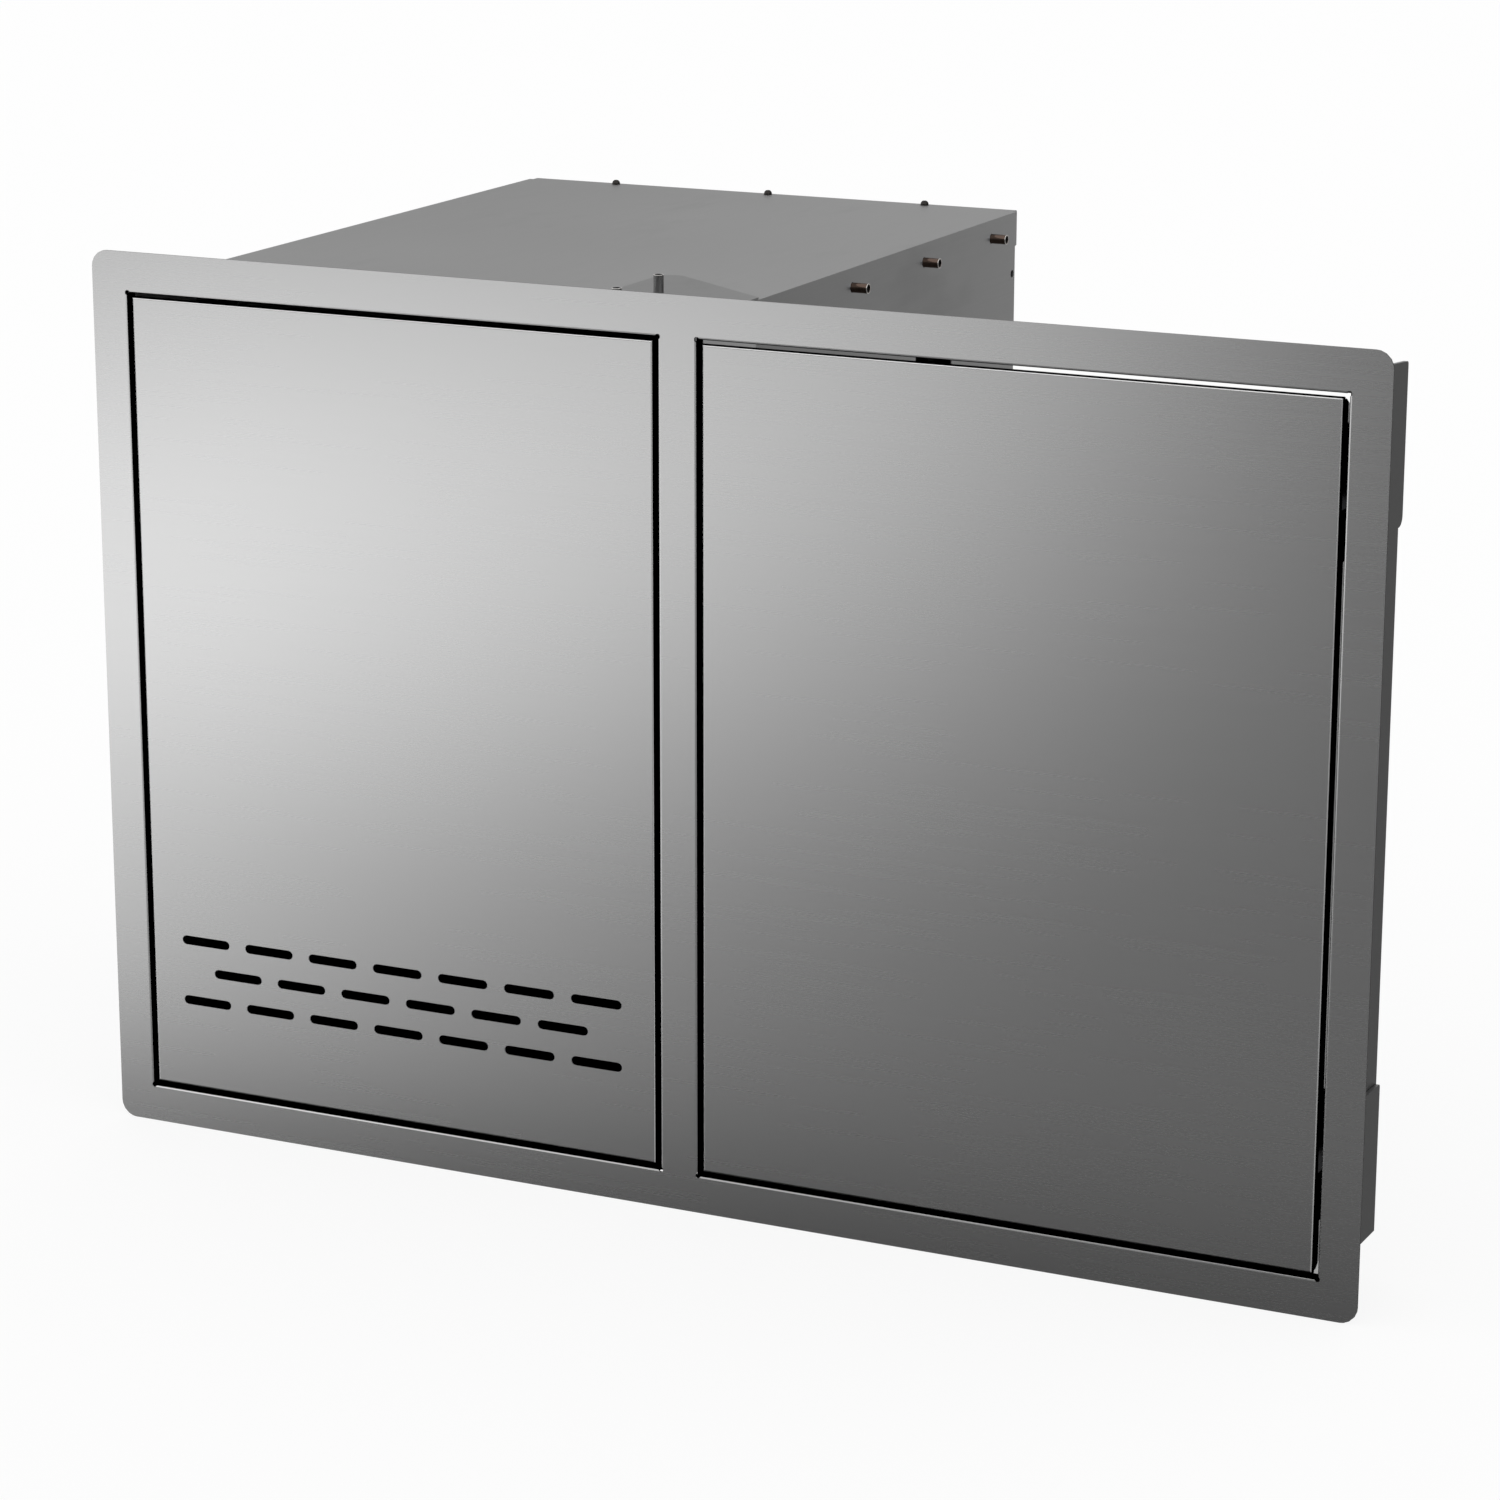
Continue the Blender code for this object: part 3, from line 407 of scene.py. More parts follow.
# The hinges' near-black colour is painted shade, so that they look as dark as the gap round them.
hinge_gap_shade_finish = zinc("black_zinc", (0.090, 0.090, 0.095), 0.30)
print("zinc:", zinc_finish.name, hinge_gap_shade_finish.name)

# %% [markdown]
# ## Dark fasteners and black nylon
#
# The rivets are coloured nearly black, a painted shade for the dark reflections of their domes,
# with a bright crater where their pins broke off. The threaded inserts are dark steel too, brown
# along the walls and grey on the brace. Each has a painted highlight, a bright ring at its open end,
# and a painted shade, black, in its threaded bore. Rivets and inserts carry a tone along their
# profiles: 1 for the bright crater and the painted highlight ring, 0 for the painted black bore and
# a half elsewhere. The touch latches are moulded nylon with a fine spark-eroded texture.

# %% Fasteners and nylon
# The first colour is that of the rivets' bright craters and of the painted highlight ring at each
# insert's open end; the second is the painted black shade of the inserts' bores.
crater_and_highlight_steel, bore_painted_shade = (0.86, 0.84, 0.81), (0.01, 0.01, 0.01)


def nylon(name, colour, roughness):
    """Moulded black plastic: an even spark-eroded texture with a few polished rubs."""
    finish = Finish(name, colour, roughness, 0.0)
    *_, where = finish.place()
    spark = finish.noise(where, 2200.0, 2.0)
    rub = finish.step(finish.noise(where, 90.0, 3.0), 0.55, 0.7)
    finish.shade(1 + (spark - 0.5) * 0.4 + rub * 0.2)
    finish.set("Roughness", roughness + (spark - 0.5) * 0.2 - rub * 0.15)
    finish.bump(spark, 0.00002)
    return finish.material


def insert_steel(name, colour, roughness):
    """Dark steel under a mottled oxide; its tone gives a painted highlight ring, or a rivet's
    crater, and painted black shade in the bore.
    """
    finish = Finish(name, colour, roughness)
    *_, where = finish.place()
    oxide = finish.noise(where, 900.0, 3.0)
    tone = finish.tone()
    ring = finish.step(tone, 0.75, 0.90)
    bore = 1 - finish.step(tone, 0.10, 0.35)
    dark, light = (tuple(share * c for c in colour) for share in (0.7, 1.3))
    plain = finish.tint((oxide - 0.5) * 0.4 + 0.5, dark, light)
    # Painted highlight: the ring at the open end is coloured bright; the same tone colours a rivet's
    # crater.
    crater_and_highlight_tint = finish.tint(ring, plain, crater_and_highlight_steel)
    # Painted shade: the threaded bore is coloured black.
    finish.set("Base Color", finish.tint(bore, crater_and_highlight_tint, bore_painted_shade))
    finish.set("Roughness", roughness + (oxide - 0.5) * 0.06 + bore * 0.4)
    finish.bump(oxide, 0.000001)
    return finish.material


# The rivets' near-black colour is painted shade, standing in for the dark reflections of their
# domes.
rivet_finish = insert_steel("dark_rivet_steel", (0.045, 0.042, 0.040), 0.18)
nut_finish = insert_steel("brown_insert_steel", (0.13, 0.092, 0.075), 0.11)
latch_nut_finish = insert_steel("grey_insert_steel", (0.24, 0.24, 0.24), 0.11)
nylon_finish = nylon("black_nylon", (0.022, 0.022, 0.023), 0.45)
print("small parts:", rivet_finish.name, nut_finish.name, latch_nut_finish.name, nylon_finish.name)

# %% [markdown]
# ## Dressing the CAD pieces
#
# Each piece of the frame takes the finish of the sheet it is made of. The shapes stay as they
# are, because they were modelled at their real sizes.

# %% Finish of each piece
finish_of = {
    "face_frame": frame_finish,
    "drawer_skin": front_finish,
    "door_skin": front_finish,
    "enclosure": case_finish,
    "corner_brace": brace_finish,
    "jamb_channel": jamb_finish,
    "backing_plate": jamb_finish,
    "top_rivet": rivet_finish,
    "nut": nut_finish,
    "slide_hanger": inner_finish,
    "slide_": zinc_finish,
    "hinge": hinge_gap_shade_finish,
    "strike_plate": zinc_finish,
    "latch": nylon_finish,
}


def dress(name, node):
    """Gives a CAD piece the first finish whose key is in its name, or that of the inner sheets."""
    look = next((finish_of[key] for key in finish_of if key in name), inner_finish)
    node.data.materials.clear()
    node.data.materials.append(look)
    return look.name


dressed = {name: dress(name, node) for name, node in nodes.items()}
for look in sorted(set(dressed.values())):
    print(look, "on", sum(1 for value in dressed.values() if value == look))

# %% [markdown]
# ## Surfaces from numbers
#
# The small fasteners, the welds and the ball rows are drawn here, finer than the CAD needs them.
# Each is a grid of points worked out at once with numpy, where neighbours in the grid make a face.
# A turned piece is the simplest of these: a profile of radius and height that goes once round an
# axis.

# %% Grids and turned pieces
sides = 40
angles = np.arange(sides) * math.tau / sides
merge_distance, sharp_angle = 0.0000005, math.radians(38)


def surface(name, points, look, body, tone=None):
    """Mesh of one grid of points or of many alike: columns close round, and poles are merged."""
    points = points.reshape(-1, *points.shape[-3:])
    copies, rows, columns, _ = points.shape
    number = np.arange(copies * rows * columns).reshape(copies, rows, columns)
    number = np.concatenate([number, number[:, :, :1]], axis=2)
    corners = [number[:, :-1, :-1], number[:, 1:, :-1], number[:, 1:, 1:], number[:, :-1, 1:]]
    faces = np.stack(corners, axis=-1).reshape(-1, 4)
    mesh = bpy.data.meshes.new(name)
    mesh.from_pydata(points.reshape(-1, 3), [], faces)
    if tone is not None:
        kept = np.zeros((faces.size, 2))
        kept[:, 1] = np.asarray(tone)[faces.ravel() // columns % rows]
        mesh.uv_layers.new(name="tone").data.foreach_set("uv", kept.ravel())
    work = bmesh.new()
    work.from_mesh(mesh)
    bmesh.ops.remove_doubles(work, verts=work.verts, dist=merge_distance)
    bmesh.ops.dissolve_degenerate(work, edges=work.edges, dist=merge_distance)
    bmesh.ops.recalc_face_normals(work, faces=work.faces)
    work.to_mesh(mesh)
    work.free()
    mesh.shade_smooth()
    mesh.set_sharp_from_angle(angle=sharp_angle)
    made = bpy.data.objects.new(name, mesh)
    made.data.materials.append(look)
    bpy.context.scene.collection.objects.link(made)
    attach(made, body)
    return made


def softened(corners, cut, steps=3):
    """Polyline whose inner corners become parabolas that start and end a cut away from them."""
    corners = np.array(corners, float)
    back, here, ahead = corners[:-2], corners[1:-1], corners[2:]
    start = here + (back - here) / np.linalg.norm(back - here, axis=1, keepdims=True) * cut
    end = here + (ahead - here) / np.linalg.norm(ahead - here, axis=1, keepdims=True) * cut
    share = np.linspace(0, 1, steps + 1)[:, None, None]
    curve = (1 - share) ** 2 * start + 2 * share * (1 - share) * here + share ** 2 * end
    return np.concatenate([corners[:1], curve.transpose(1, 0, 2).reshape(-1, 2), corners[-1:]])


def turned(name, radius, height, centre, direction, look, body, tone=None):
    """Point = centre + radius * (cos a, sin a) across the axis + height along it, for angles a."""
    radius, height = np.broadcast_arrays(radius, height, np.zeros((len(radius), sides)))[:2]
    axis = np.array(direction, float)
    across = np.array(Vector(direction).orthogonal().normalized())
    ring = np.cos(angles)[:, None] * across + np.sin(angles)[:, None] * np.cross(axis, across)
    points = np.array(centre) + radius[..., None] * ring + height[..., None] * axis
    return surface(name, points, look, body, tone)


print("grids of", sides, "columns are ready")

# %% [markdown]
# ## Threaded inserts
#
# Ten rivet nuts hold the slides and the drawer's latch. Each is a thin tube with a flange on the
# inside of the sheet. The bore has a real M5 thread: its radius is a triangle wave of the height
# minus the angle, so that the wave climbs by one pitch in each turn. The CAD has plain tubes at
# the same places, and these take their ends and middles from them. The sheet round an insert is
# too dull to show its image, so reflections leave the inserts out.

# %% Inserts
insert_body, insert_bore, insert_flange = 0.0032, 0.0025, 0.0046
flange_thickness, thread_pitch, thread_depth = 0.0006, 0.0008, 0.00035
ring_length, edge_softness = 0.0006, 0.00018
thread_rows = 64


def insert(name, node, direction, look):
    """Tube with a flange at its start and a thread in its bore, in the place of a CAD node."""
    low, high = (np.array(corner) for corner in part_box(node))
    axis = np.array(direction, float)
    length = float(abs(axis @ (high - low)))
    start = (low + high) / 2 - axis * length / 2
    corners = [(insert_bore, 0), (insert_flange, 0), (insert_flange, flange_thickness),
               (insert_body, flange_thickness), (insert_body, length - ring_length),
               (insert_body, length), (insert_bore, length)]
    outline = softened(corners, edge_softness)
    depth = np.linspace(length, 0, thread_rows)[1:]
    wave = (depth[:, None] / thread_pitch - angles / math.tau) % 1
    fade = np.clip(np.minimum(depth, length - depth) / thread_pitch, 0, 1)[:, None]
    bore = insert_bore - thread_depth * fade * (1 - np.abs(2 * wave - 1))
    radius = np.concatenate([np.repeat(outline[:, :1], sides, axis=1), bore])
    height = np.concatenate([outline[:, 1], depth])[:, None]
    # Tone 1 paints a highlight ring at the open end, and the thread's tone 0 paints its bore black
    # as shade.
    open_end = (outline[:, 1] > length - ring_length / 2) & (outline[:, 0] > insert_bore)
    tone = np.concatenate([np.where(open_end, 1.0, 0.5), np.zeros(thread_rows - 1)])
    made = turned(name, radius, height, start, direction, look, "cabinet", tone)
    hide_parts(node)
    made.visible_glossy = False
    return made


inserts = [insert(f"slide_insert_{end}", f"slide_nut_{end}", (way, 0, 0), nut_finish)
           for hand, way in (("left", -1), ("right", 1))
           for end in (f"{hand}_{number}" for number in range(1, 5))]
inserts += [insert(f"latch_insert_{number}", f"latch_nut_{number}", (0, 0, 1), latch_nut_finish)
            for number in (1, 2)]
print("inserts:", len(inserts), "faces each:", len(inserts[0].data.polygons))

# %% [markdown]
# ## Ground welds
#
# Where the top meets the two walls, the corner is welded and ground flush, so that no seam shows
# from outside. The same is done at the ends of the top's rear fold and below the corners of the
# door's collar. Each weld is a slim bar that fills its seam and stands out of it by a hair. Its
# section is an ellipse raised to the fourth power, which is nearly a rectangle with soft corners.

# %% Welds
def root(wave):
    """Square root that keeps the sign."""
    return np.sign(wave) * np.sqrt(np.abs(wave))


def weld(name, low, high):
    """Section x ** 4 + z ** 4 = 1, scaled to a box and drawn out along Y, with both ends closed."""
    low, high = np.array(low), np.array(high)
    middle, half = spread(low, high)
    scale = np.array([0, 1, 1, 0])[:, None]
    x = middle[0] + half[0] * scale * root(np.cos(angles))
    z = middle[2] + half[2] * scale * root(np.sin(angles))
    y = np.array([low[1], low[1], high[1], high[1]])[:, None] + 0 * angles
    return surface(name, np.stack([x, y, z], axis=-1), case_finish, "cabinet")


weld_depth, weld_height, weld_proud, weld_sunk = 0.0005, 0.0020, 0.00006, 0.00004
corner_short = 0.0012
fold_near, fold_far, fold_start, fold_end = 0.0003, 0.0012, 0.0005, 0.0010
fold_over, fold_under = 0.0003, 0.0016
collar_outer, collar_inner = 0.0045, 0.0040
(collar_front, collar_rear), (collar_low, collar_high) = (0.0004, 0.0190), (0.0078, 0.0109)
openings = {"drawer": (-0.3940, -0.0277), "door": (-0.0022, 0.3946)}

# %% Where the welds lie
top_low, top_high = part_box("enclosure_top")
crown = top_high.z - weld_sunk
welds = []
for hand, way in (("left", 1), ("right", -1)):
    low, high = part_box("enclosure_wall_" + hand)
    face = low.x if hand == "left" else high.x
    edges = sorted((face - way * weld_proud, face + way * weld_depth))
    welds.append(weld("corner_weld_" + hand, (edges[0], low.y, crown - weld_height),
                      (edges[1], high.y - corner_short, crown)))
    edges = sorted((face + way * fold_near, face + way * fold_far))
    welds.append(weld("fold_weld_" + hand, (edges[0], high.y - fold_start, top_low.z + fold_over),
                      (edges[1], high.y + fold_end, top_high.z - fold_under)))
for hand, corner in zip(("left", "right"), openings["door"]):
    welds.append(weld("collar_weld_" + hand, (corner - collar_outer, collar_front, collar_low),
                      (corner + collar_inner, collar_rear, collar_high)))
print("welds:", len(welds))

# %% [markdown]
# ## Dome rivets
#
# The top is held to the back by three blind rivets, and the drawer's sides to its front by eight
# smaller ones. A blind rivet is pulled tight by a pin that snaps off inside, which leaves a small
# crater in the middle of the dome.

# %% Rivets
dome_share = np.linspace(0, 1, 10)
crater, lip, well_share, well_rim, well_floor = 0.16, 0.10, 0.8, 0.72, 0.70
crater_rows = 3
top_rise, top_shank, top_length, top_sunk = 0.0028, 0.0016, 0.0037, 0.0002
side_head, side_rise, side_shank, side_length = 0.0032, 0.0014, 0.0015, 0.0028
flange_inset, sheet_thickness, side_margin = 0.0085, 0.0012, 0.035


def rivet(name, base, direction, head, rise, shank, length, look, body):
    """Shank, flat underside, then a dome: height = rise times the root of 1 minus r squared."""
    radius = head * np.cos(dome_share * math.pi / 2) * (1 - crater) + head * crater
    height = rise * (lip + (1 - lip) * np.sin(dome_share * math.pi / 2))
    foot = [(0, -length), (shank, -length), (shank, 0), (head, 0)]
    well = [(head * crater * well_share, rise * well_rim), (0, rise * well_floor)]
    profile = np.concatenate([foot, np.stack([radius, height], axis=1), well])
    tone = np.full(len(profile), 0.5)
    tone[-crater_rows:] = 1.0
    return turned(name, profile[:, :1], profile[:, 1:], base, direction, look, body, tone)


for number in (1, 2, 3):
    low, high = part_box(f"top_rivet_{number}")
    head = (high.x - low.x) / 2
    base = ((low.x + high.x) / 2, (low.y + high.y) / 2, high.z - top_rise - top_sunk)
    made = rivet(f"dome_rivet_{number}", base, (0, 0, 1), head, top_rise + top_sunk, top_shank,
                 top_length, rivet_finish, "cabinet")
    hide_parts(f"top_rivet_{number}")

side_low, side_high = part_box("drawer_side_left")
drawer_middle = (side_low.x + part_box("drawer_side_right")[1].x) / 2
flange_line, flange_face = side_low.x + flange_inset, side_low.y + sheet_thickness
levels = np.linspace(side_low.z + side_margin, side_high.z - side_margin, 4)
for number, z in enumerate(levels, 1):
    for hand, x in (("left", flange_line), ("right", 2 * drawer_middle - flange_line)):
        rivet(f"side_rivet_{hand}_{number}", (x, flange_face, z), (0, 1, 0), side_head, side_rise,
              side_shank, side_length, inner_finish, "drawer")
print("dome rivets: 3, side rivets:", 2 * len(levels))

# %% [markdown]
# ## Screws
#
# Every screw has a cross recess. Seen from above, the recess is where the nearer of the two
# distances, to the line across and to the line up the head, is less than half an arm's width. So
# the head is worked out as a surface of revolution, and its height is lowered by that mask.

# %% Screws
def screw(name, base, direction, body, head=0.0040, rise=0.0022, length=0.0070):
    """Pan head: an ellipse's quarter in profile, sunk by the recess's depth where the cross is."""
    shank, recess, rim = 0.47 * head, 0.55 * rise, 0.35
    arm_half, arm_reach, side_slope, end_slope = 0.17 * head, 0.62 * head, 0.05 * head, 0.08 * head
    dome = np.linspace(0, 1, 22)[:, None]
    radius = head * np.cos(dome * math.pi / 2)
    height = rise * (rim + (1 - rim) * np.sin(dome * math.pi / 2))
    nearer = np.minimum(np.abs(radius * np.cos(angles)), np.abs(radius * np.sin(angles)))
    arm = np.clip((arm_half - nearer) / side_slope, 0, 1)
    arm = arm * np.clip((arm_reach - radius) / end_slope, 0, 1)
    foot = np.array([(0, -length), (0.8 * shank, -length), (shank, 0.1 * shank - length),
                     (shank, 0), (head, 0)])
    radius = np.concatenate([foot[:, :1], radius])
    height = np.concatenate([np.repeat(foot[:, 1:], sides, axis=1), height - recess * arm])
    return turned(name, radius, height, base, direction, zinc_finish, body)


def screws(stem, places, direction, body, **sizes):
    """Numbered screws at several places."""
    return [screw(f"{stem}_{number}", place, direction, body, **sizes)
            for number, place in enumerate(places, 1)]


print("a plain screw is 8 mm across the head and 7 mm long under it")

# %% Screws of the slides
outer_screw = dict(head=0.0034, rise=0.0009, length=0.003)
inner_screw = dict(head=0.0036, rise=0.0016, length=0.004)
outer_shares, inner_shares = (0.12, 0.50, 0.86), (0.08, 0.45, 0.80)
made = []
for hand, way in (("left", 1), ("right", -1)):
    low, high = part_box("slide_hanger_" + hand)
    inner = high.x if hand == "left" else low.x
    boxes = [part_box(f"slide_nut_{hand}_{number}") for number in range(1, 5)]
    places = [(inner, (near.y + far.y) / 2, (near.z + far.z) / 2) for near, far in boxes]
    made += screws("hanger_screw_" + hand, places, (way, 0, 0), "cabinet")
    low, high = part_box("slide_outer_" + hand)
    level = (low.z + high.z) / 2
    web = low.x + sheet_thickness if hand == "left" else high.x - sheet_thickness
    places = [(web, low.y + share * (high.y - low.y), level) for share in outer_shares]
    made += screws("outer_slide_screw_" + hand, places, (way, 0, 0), "cabinet", **outer_screw)
    low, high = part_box("slide_inner_" + hand)
    web = high.x - sheet_thickness if hand == "left" else low.x + sheet_thickness
    places = [(web, low.y + share * (high.y - low.y), level) for share in inner_shares]
    made += screws("inner_slide_screw_" + hand, places, (-way, 0, 0), "drawer", **inner_screw)
print("slide screws:", len(made))

# %% Screws of the hinges
plate_length, plate_thickness, plate_margin, plate_spread = 0.045, 0.003, 0.010, 0.020
bracket_face, bracket_spread = 0.002, 0.0045
arm_screw = dict(head=0.0042, rise=0.0020, length=0.0055)
bracket_screw = dict(head=0.0030, rise=0.0005, length=0.002)
for end in ("upper", "lower"):
    low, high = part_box(end + "_hinge_arm")
    middle, front = (low.z + high.z) / 2, high.y - plate_length
    places = [(high.x - plate_thickness, y, middle + z)
              for y in (front + plate_margin, high.y - plate_margin)
              for z in (-plate_spread, plate_spread)]
    made += screws(end + "_arm_screw", places, (-1, 0, 0), "cabinet", **arm_screw)
    low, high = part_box(end + "_hinge_bracket")
    side, middle = (low.x + high.x) / 2, (low.z + high.z) / 2
    places = [(side, low.y + bracket_face, middle + z) for z in (-bracket_spread, bracket_spread)]
    made += screws(end + "_bracket_screw", places, (0, 1, 0), "door", **bracket_screw)
print("with those of the hinges:", len(made))

# %% Screws of the latches
drawer_case_screws, door_case_screws = (0.0280, 0.0758), (0.0230, 0.0400)
strike_screws = (0.0045, 0.0135)
case_screw = dict(head=0.0038, rise=0.0018)
strike_screw = dict(head=0.0029, rise=0.0009, length=0.003)
low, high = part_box("drawer_latch_case")
places = [((low.x + high.x) / 2, low.y + back, low.z) for back in drawer_case_screws]
made += screws("drawer_latch_screw", places, (0, 0, -1), "cabinet", **case_screw)
low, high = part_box("door_latch_case")
places = [(high.x, low.y + back, (low.z + high.z) / 2) for back in door_case_screws]
made += screws("door_latch_screw", places, (1, 0, 0), "cabinet", **case_screw)
low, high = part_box("drawer_strike_plate")
places = [((low.x + high.x) / 2, high.y, low.z + up) for up in strike_screws]
made += screws("drawer_strike_screw", places, (0, 1, 0), "drawer", **strike_screw)
low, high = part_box("door_strike_plate")
places = [(high.x - back, high.y, (low.z + high.z) / 2) for back in strike_screws]
made += screws("door_strike_screw", places, (0, 1, 0), "door", **strike_screw)
print("screws in all:", len(made))

# %% [markdown]
# ## Ball rows
#
# A full-extension slide is three rails with balls between them. Each row of balls sits in a strip
# that keeps them apart. The rows of the outer race lie in the rear half of the middle rail and
# those of the inner race in its front half, because there they stay between the rails at full
# reach.

# %% Balls and their strips
ball_radius, ball_pitch, balls_in_row = 0.00165, 0.0090, 23
strip_half, strip_bulge, strip_thick, strip_steps = 0.0016, 0.0008, 0.0005, 6
polar = np.linspace(0, math.pi, 7)[:, None]
around = np.arange(8) * math.tau / 8
unit_ball = np.stack([np.sin(polar) * np.cos(around), np.cos(polar) + 0 * around,
                      np.sin(polar) * np.sin(around)], axis=-1)


def ball_row(name, x, y, z, body):
    """Spheres a pitch apart, from polar and round angles, and a strip that widens beside each."""
    along = y + np.arange(balls_in_row) * ball_pitch
    centres = np.stack([np.full(balls_in_row, x), along, np.full(balls_in_row, z)], axis=1)
    balls = centres[:, None, None] + ball_radius * unit_ball
    surface(name + "_balls", balls, zinc_finish, body)
    ends = y - ball_pitch / 2, along[-1] + ball_pitch / 2
    run = np.linspace(*ends, balls_in_row * strip_steps + 1)
    half = strip_half + strip_bulge * np.cos((run - y) * math.pi / ball_pitch) ** 2
    half[[0, -1]] = 0
    thick = np.where(half > 0, strip_thick, 0)
    strip = np.stack([np.stack([x + side * half, run, z + up * thick], axis=1)
                      for side, up in ((-1, -1), (1, -1), (1, 1), (-1, 1))], axis=1)
    surface(name + "_strip", strip, nylon_finish, body)


races = {"outer": (0.0068, 0.01935, 0.240), "inner": (0.0079, 0.01425, 0.012)}
for hand, way in (("left", 1), ("right", -1)):
    low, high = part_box("slide_outer_" + hand)
    web, level = (low.x if hand == "left" else high.x), (low.z + high.z) / 2
    for race, (out, rise, start) in races.items():
        for end, up in (("top", 1), ("base", -1)):
            ball_row(f"{race}_race_{hand}_{end}", web + way * out, low.y + start,
                     level + up * rise, "slide_middle_" + hand)
print("ball rows: 8, balls:", 8 * balls_in_row)

# %% [markdown]
# ## The studio
#
# A plain white room lights everything evenly: the world has a strength of 1, so a colour looks as
# it is written. The floor is white too. To the camera it shines by itself, so that it keeps only
# a soft shadow under the cabinet, and reflections don't see it.

# %% White room and floor
world = bpy.data.worlds.new("white_room")
bpy.context.scene.world = world
world.use_nodes = True
world.node_tree.nodes["Background"].inputs["Color"].default_value = (1.0, 1.0, 1.0, 1.0)
world.node_tree.nodes["Background"].inputs["Strength"].default_value = 1.0


class Glow(Finish):
    """A studio material that shines by itself."""

    def shine(self, strength, share=1.0):
        """Mixes plain emission of a strength over the shader."""
        light = self.node("ShaderNodeEmission", None, {"Strength": strength})
        mix = self.node("ShaderNodeMixShader", None, {0: share})
        self.tree.links.new(self.shader.outputs[0], mix.inputs[1])
        self.tree.links.new(light.outputs[0], mix.inputs[2])
        self.tree.links.new(mix.outputs[0], self.tree.nodes["Material Output"].inputs["Surface"])


def studio_sheet(name, corners, material, faces=((0, 1, 2, 3),)):
    """Flat faces through some points, as part of the studio."""
    mesh = bpy.data.meshes.new(name)
    mesh.from_pydata(corners, [], faces)
    made = bpy.data.objects.new(name, mesh)
    made.data.materials.append(material)
    bpy.context.scene.collection.objects.link(made)
    return made


floor_level, floor_reach, floor_shine = cad_box[0][2] - 0.0001, 25.0, 0.85
floor_look = Glow("white_floor", (0.93, 0.93, 0.93), 0.9, 0.0)
seen = Value(floor_look, floor_look.node("ShaderNodeLightPath").outputs["Is Camera Ray"])
floor_look.shine(1.0, seen * floor_shine)
corners = [(right * floor_reach, back * floor_reach, floor_level)
           for right, back in ((-1, -1), (1, -1), (1, 1), (-1, 1))]
floor = studio_sheet("floor", corners, floor_look.material)
floor.visible_glossy = False
print("floor at", round(floor_level, 5))

# %% [markdown]
# ## The cards that steel looks at
#
# A photographer shapes steel by what stands round it. Here four large cards stand in front,
# behind, at the right and below, and the left and the ceiling are open to the white room. Only
# reflections see the cards. The front card is bright at the left, where the drawer reflects it,
# and dark at the lower right, where the door does: a base level plus soft lobes, each a Gaussian
# in its width and height. Its right end is brighter again, for the edges that face it. The rear
# card is what the top and the right wall of the box reflect.

# %% A card and its lobes
def card(name, corners, level, faces=((0, 1, 2, 3),)):
    """Sheet that only reflections see; its level is a formula of its own X and Z."""
    look = Glow(name, (0.0, 0.0, 0.0), 1.0, 0.0)
    x, _, z, _ = look.place()
    look.shine(level(look, x, z))
    made = studio_sheet(name, corners, look.material, faces)
    for ray in ("camera", "diffuse", "transmission", "volume_scatter", "shadow"):
        setattr(made, "visible_" + ray, False)
    return made


def lobe(x, z, height, middle_x, middle_z, width, tall, lean=0.0):
    """Height times e to the minus the squared distance from the middle, in widths; it may lean."""
    across = (x - middle_x) / width
    up = (z - middle_z - (x - middle_x) * lean) / tall
    return (-(across * across + up * up)).math("EXPONENT") * height


print("a lobe has a height, a middle, a width, a tallness and a lean")

# %% Levels of the cards
front_base, front_end, front_rise = 0.0200, (0.50, 0.70), 0.5
front_lobes = ((0.7510, -2.2000, -0.2416, 1.3606, 0.1039, 0.0102),
               (0.6970, -2.2000, 1.5000, 1.9137, 0.5421, -0.6021),
               (1.1701, -1.0060, 0.1027, 0.5278, 0.3172, 0.1846),
               (0.3752, -0.2166, 0.4051, 0.3360, 0.2748, 0.5015))
rear_base, rear_end, rear_rise = 0.12, (0.2, 0.8), 0.37
rear_lobe = (0.12, -0.2, 0.72, 0.35, 0.25)
right_level, low_level = 0.30, 0.12


def front_level(look, x, z):
    """Base, a smooth rise towards the right end, and all the lobes."""
    lobes = sum(lobe(x, z, *values) for values in front_lobes)
    return front_base + look.step(x, *front_end) * front_rise + lobes


def rear_level(look, x, z):
    """Base, a smooth fall towards the right end, and one lobe."""
    return rear_base + (1 - look.step(x, *rear_end)) * rear_rise + lobe(x, z, *rear_lobe)


print("lobes on the front card:", len(front_lobes))

# %% Cards on four sides
card_left, card_right, card_base, card_top = -1.5, 1.7, -0.95, 0.90
card_front, card_rear, rear_card_top = -0.8, 0.9, 1.5
front_foot = [(card_left, card_front, card_base), (card_right, card_front, card_base)]
rear_foot = [(card_left, card_rear, card_base), (card_right, card_rear, card_base)]
front_head = [(card_right, card_front, card_top), (card_left, card_front, card_top)]
rear_head = [(card_right, card_rear, rear_card_top), (card_left, card_rear, rear_card_top)]
card("front_card", front_foot + front_head, front_level)
card("rear_card", rear_foot + rear_head, rear_level)
card("right_card", [front_foot[1], rear_foot[1], rear_head[0], front_head[0]],
     lambda look, x, z: right_level)
card("low_card", front_foot + rear_foot[::-1], lambda look, x, z: low_level)
print("cards: 4, from", card_left, "to", card_right, "m across")

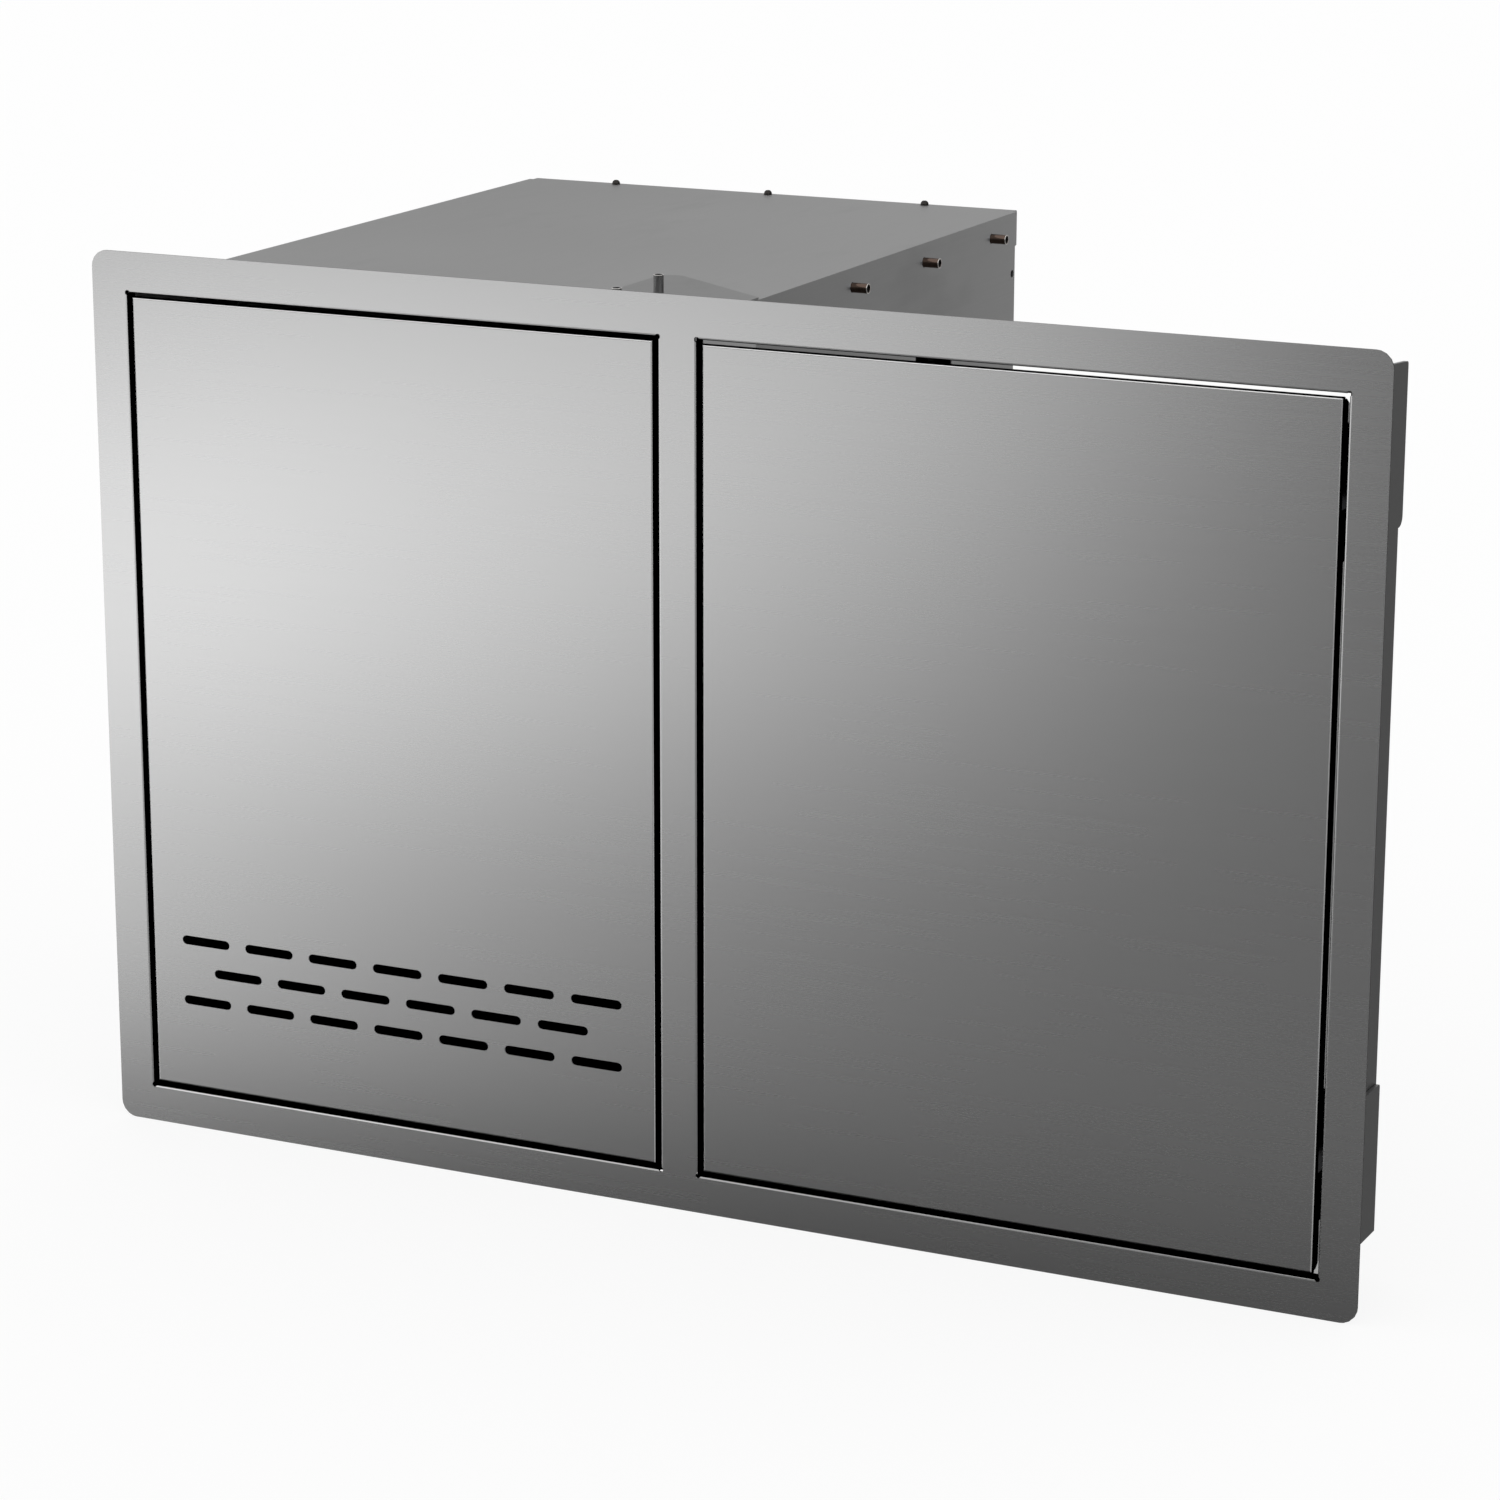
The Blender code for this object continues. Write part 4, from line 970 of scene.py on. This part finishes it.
# %% [markdown]
# ## Dark gaps
#
# In use the space behind the two fronts is closed by walls, and it is dark. Black boxes take the
# light out of what the eye can reach through the gaps, the small holes at the corners, the vents
# and the notches of the hinges. Like the cards they are seen by reflections, but they also hold
# back the light. They start just behind the bends, so that the folded edges keep their light, and
# they are shallow, so that the insides look right when open.

# %% Black boxes behind the gaps
slim = 0.0001


def sliver(x, z):
    """Rectangle so slim that a ring round it is all but a full box."""
    return x, z, x + slim, z + slim


def black_ring(name, outer, inner, front, rear):
    """Closed tube between two rectangles of X and Z, from one depth to another."""
    turns = ((0, 1), (2, 1), (2, 3), (0, 3))
    loop = [(box[x], box[z]) for box in (outer, inner) for x, z in turns]
    points = [(x, y, z) for y in (front, rear) for x, z in loop]
    faces = []
    for side in range(4):
        after = (side + 1) % 4
        faces += [(side, after, after + 4, side + 4), (side + 8, side + 12, after + 12, after + 8),
                  (side, side + 8, after + 8, after), (side + 4, after + 4, after + 12, side + 12)]
    made = card(name, points, lambda look, x, z: 0.0, faces)
    made.visible_shadow = True
    return made


print("a black ring has 16 corners and 16 faces")

# %% Where the boxes stand
dark_front, dark_rear, vent_rear, hinge_rear = -0.0009, 0.0075, 0.0130, 0.0200
collar_share, pan_share, hole_reach = 0.0006, 0.0060, 0.0045
hinge_reach, hinge_width = 0.0080, 0.0080
opening_base, opening_top = 0.0121, 0.52765
vent_block, vent_core = (-0.365, 0.035, -0.055, 0.120), (-0.210, 0.078)
boxes = []
for front, (left, right) in openings.items():
    low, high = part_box(front + "_skin")
    outer = (left - collar_share, opening_base - collar_share,
             right + collar_share, opening_top + collar_share)
    inner = (low.x + pan_share, low.z + pan_share, high.x - pan_share, high.z - pan_share)
    boxes.append(black_ring(front + "_gap_dark", outer, inner, dark_front, dark_rear))
    for x in (left, right):
        for z in (opening_base, opening_top):
            block = (x - hole_reach, z - hole_reach, x + hole_reach, z + hole_reach)
            boxes.append(black_ring(front + "_hole_dark", block, sliver(x, z),
                                    dark_front, dark_rear))
boxes.append(black_ring("vent_dark", vent_block, sliver(*vent_core), dark_front, vent_rear))
for end in ("lower", "upper"):
    low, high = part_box(end + "_hinge_arm")
    block = (high.x - hinge_width, low.z - hinge_reach,
             high.x + collar_share, high.z + hinge_reach)
    core = sliver(high.x - hinge_width / 2, low.z)
    boxes.append(black_ring(end + "_hinge_dark", block, core, dark_rear, hinge_rear))
print("black boxes:", len(boxes))
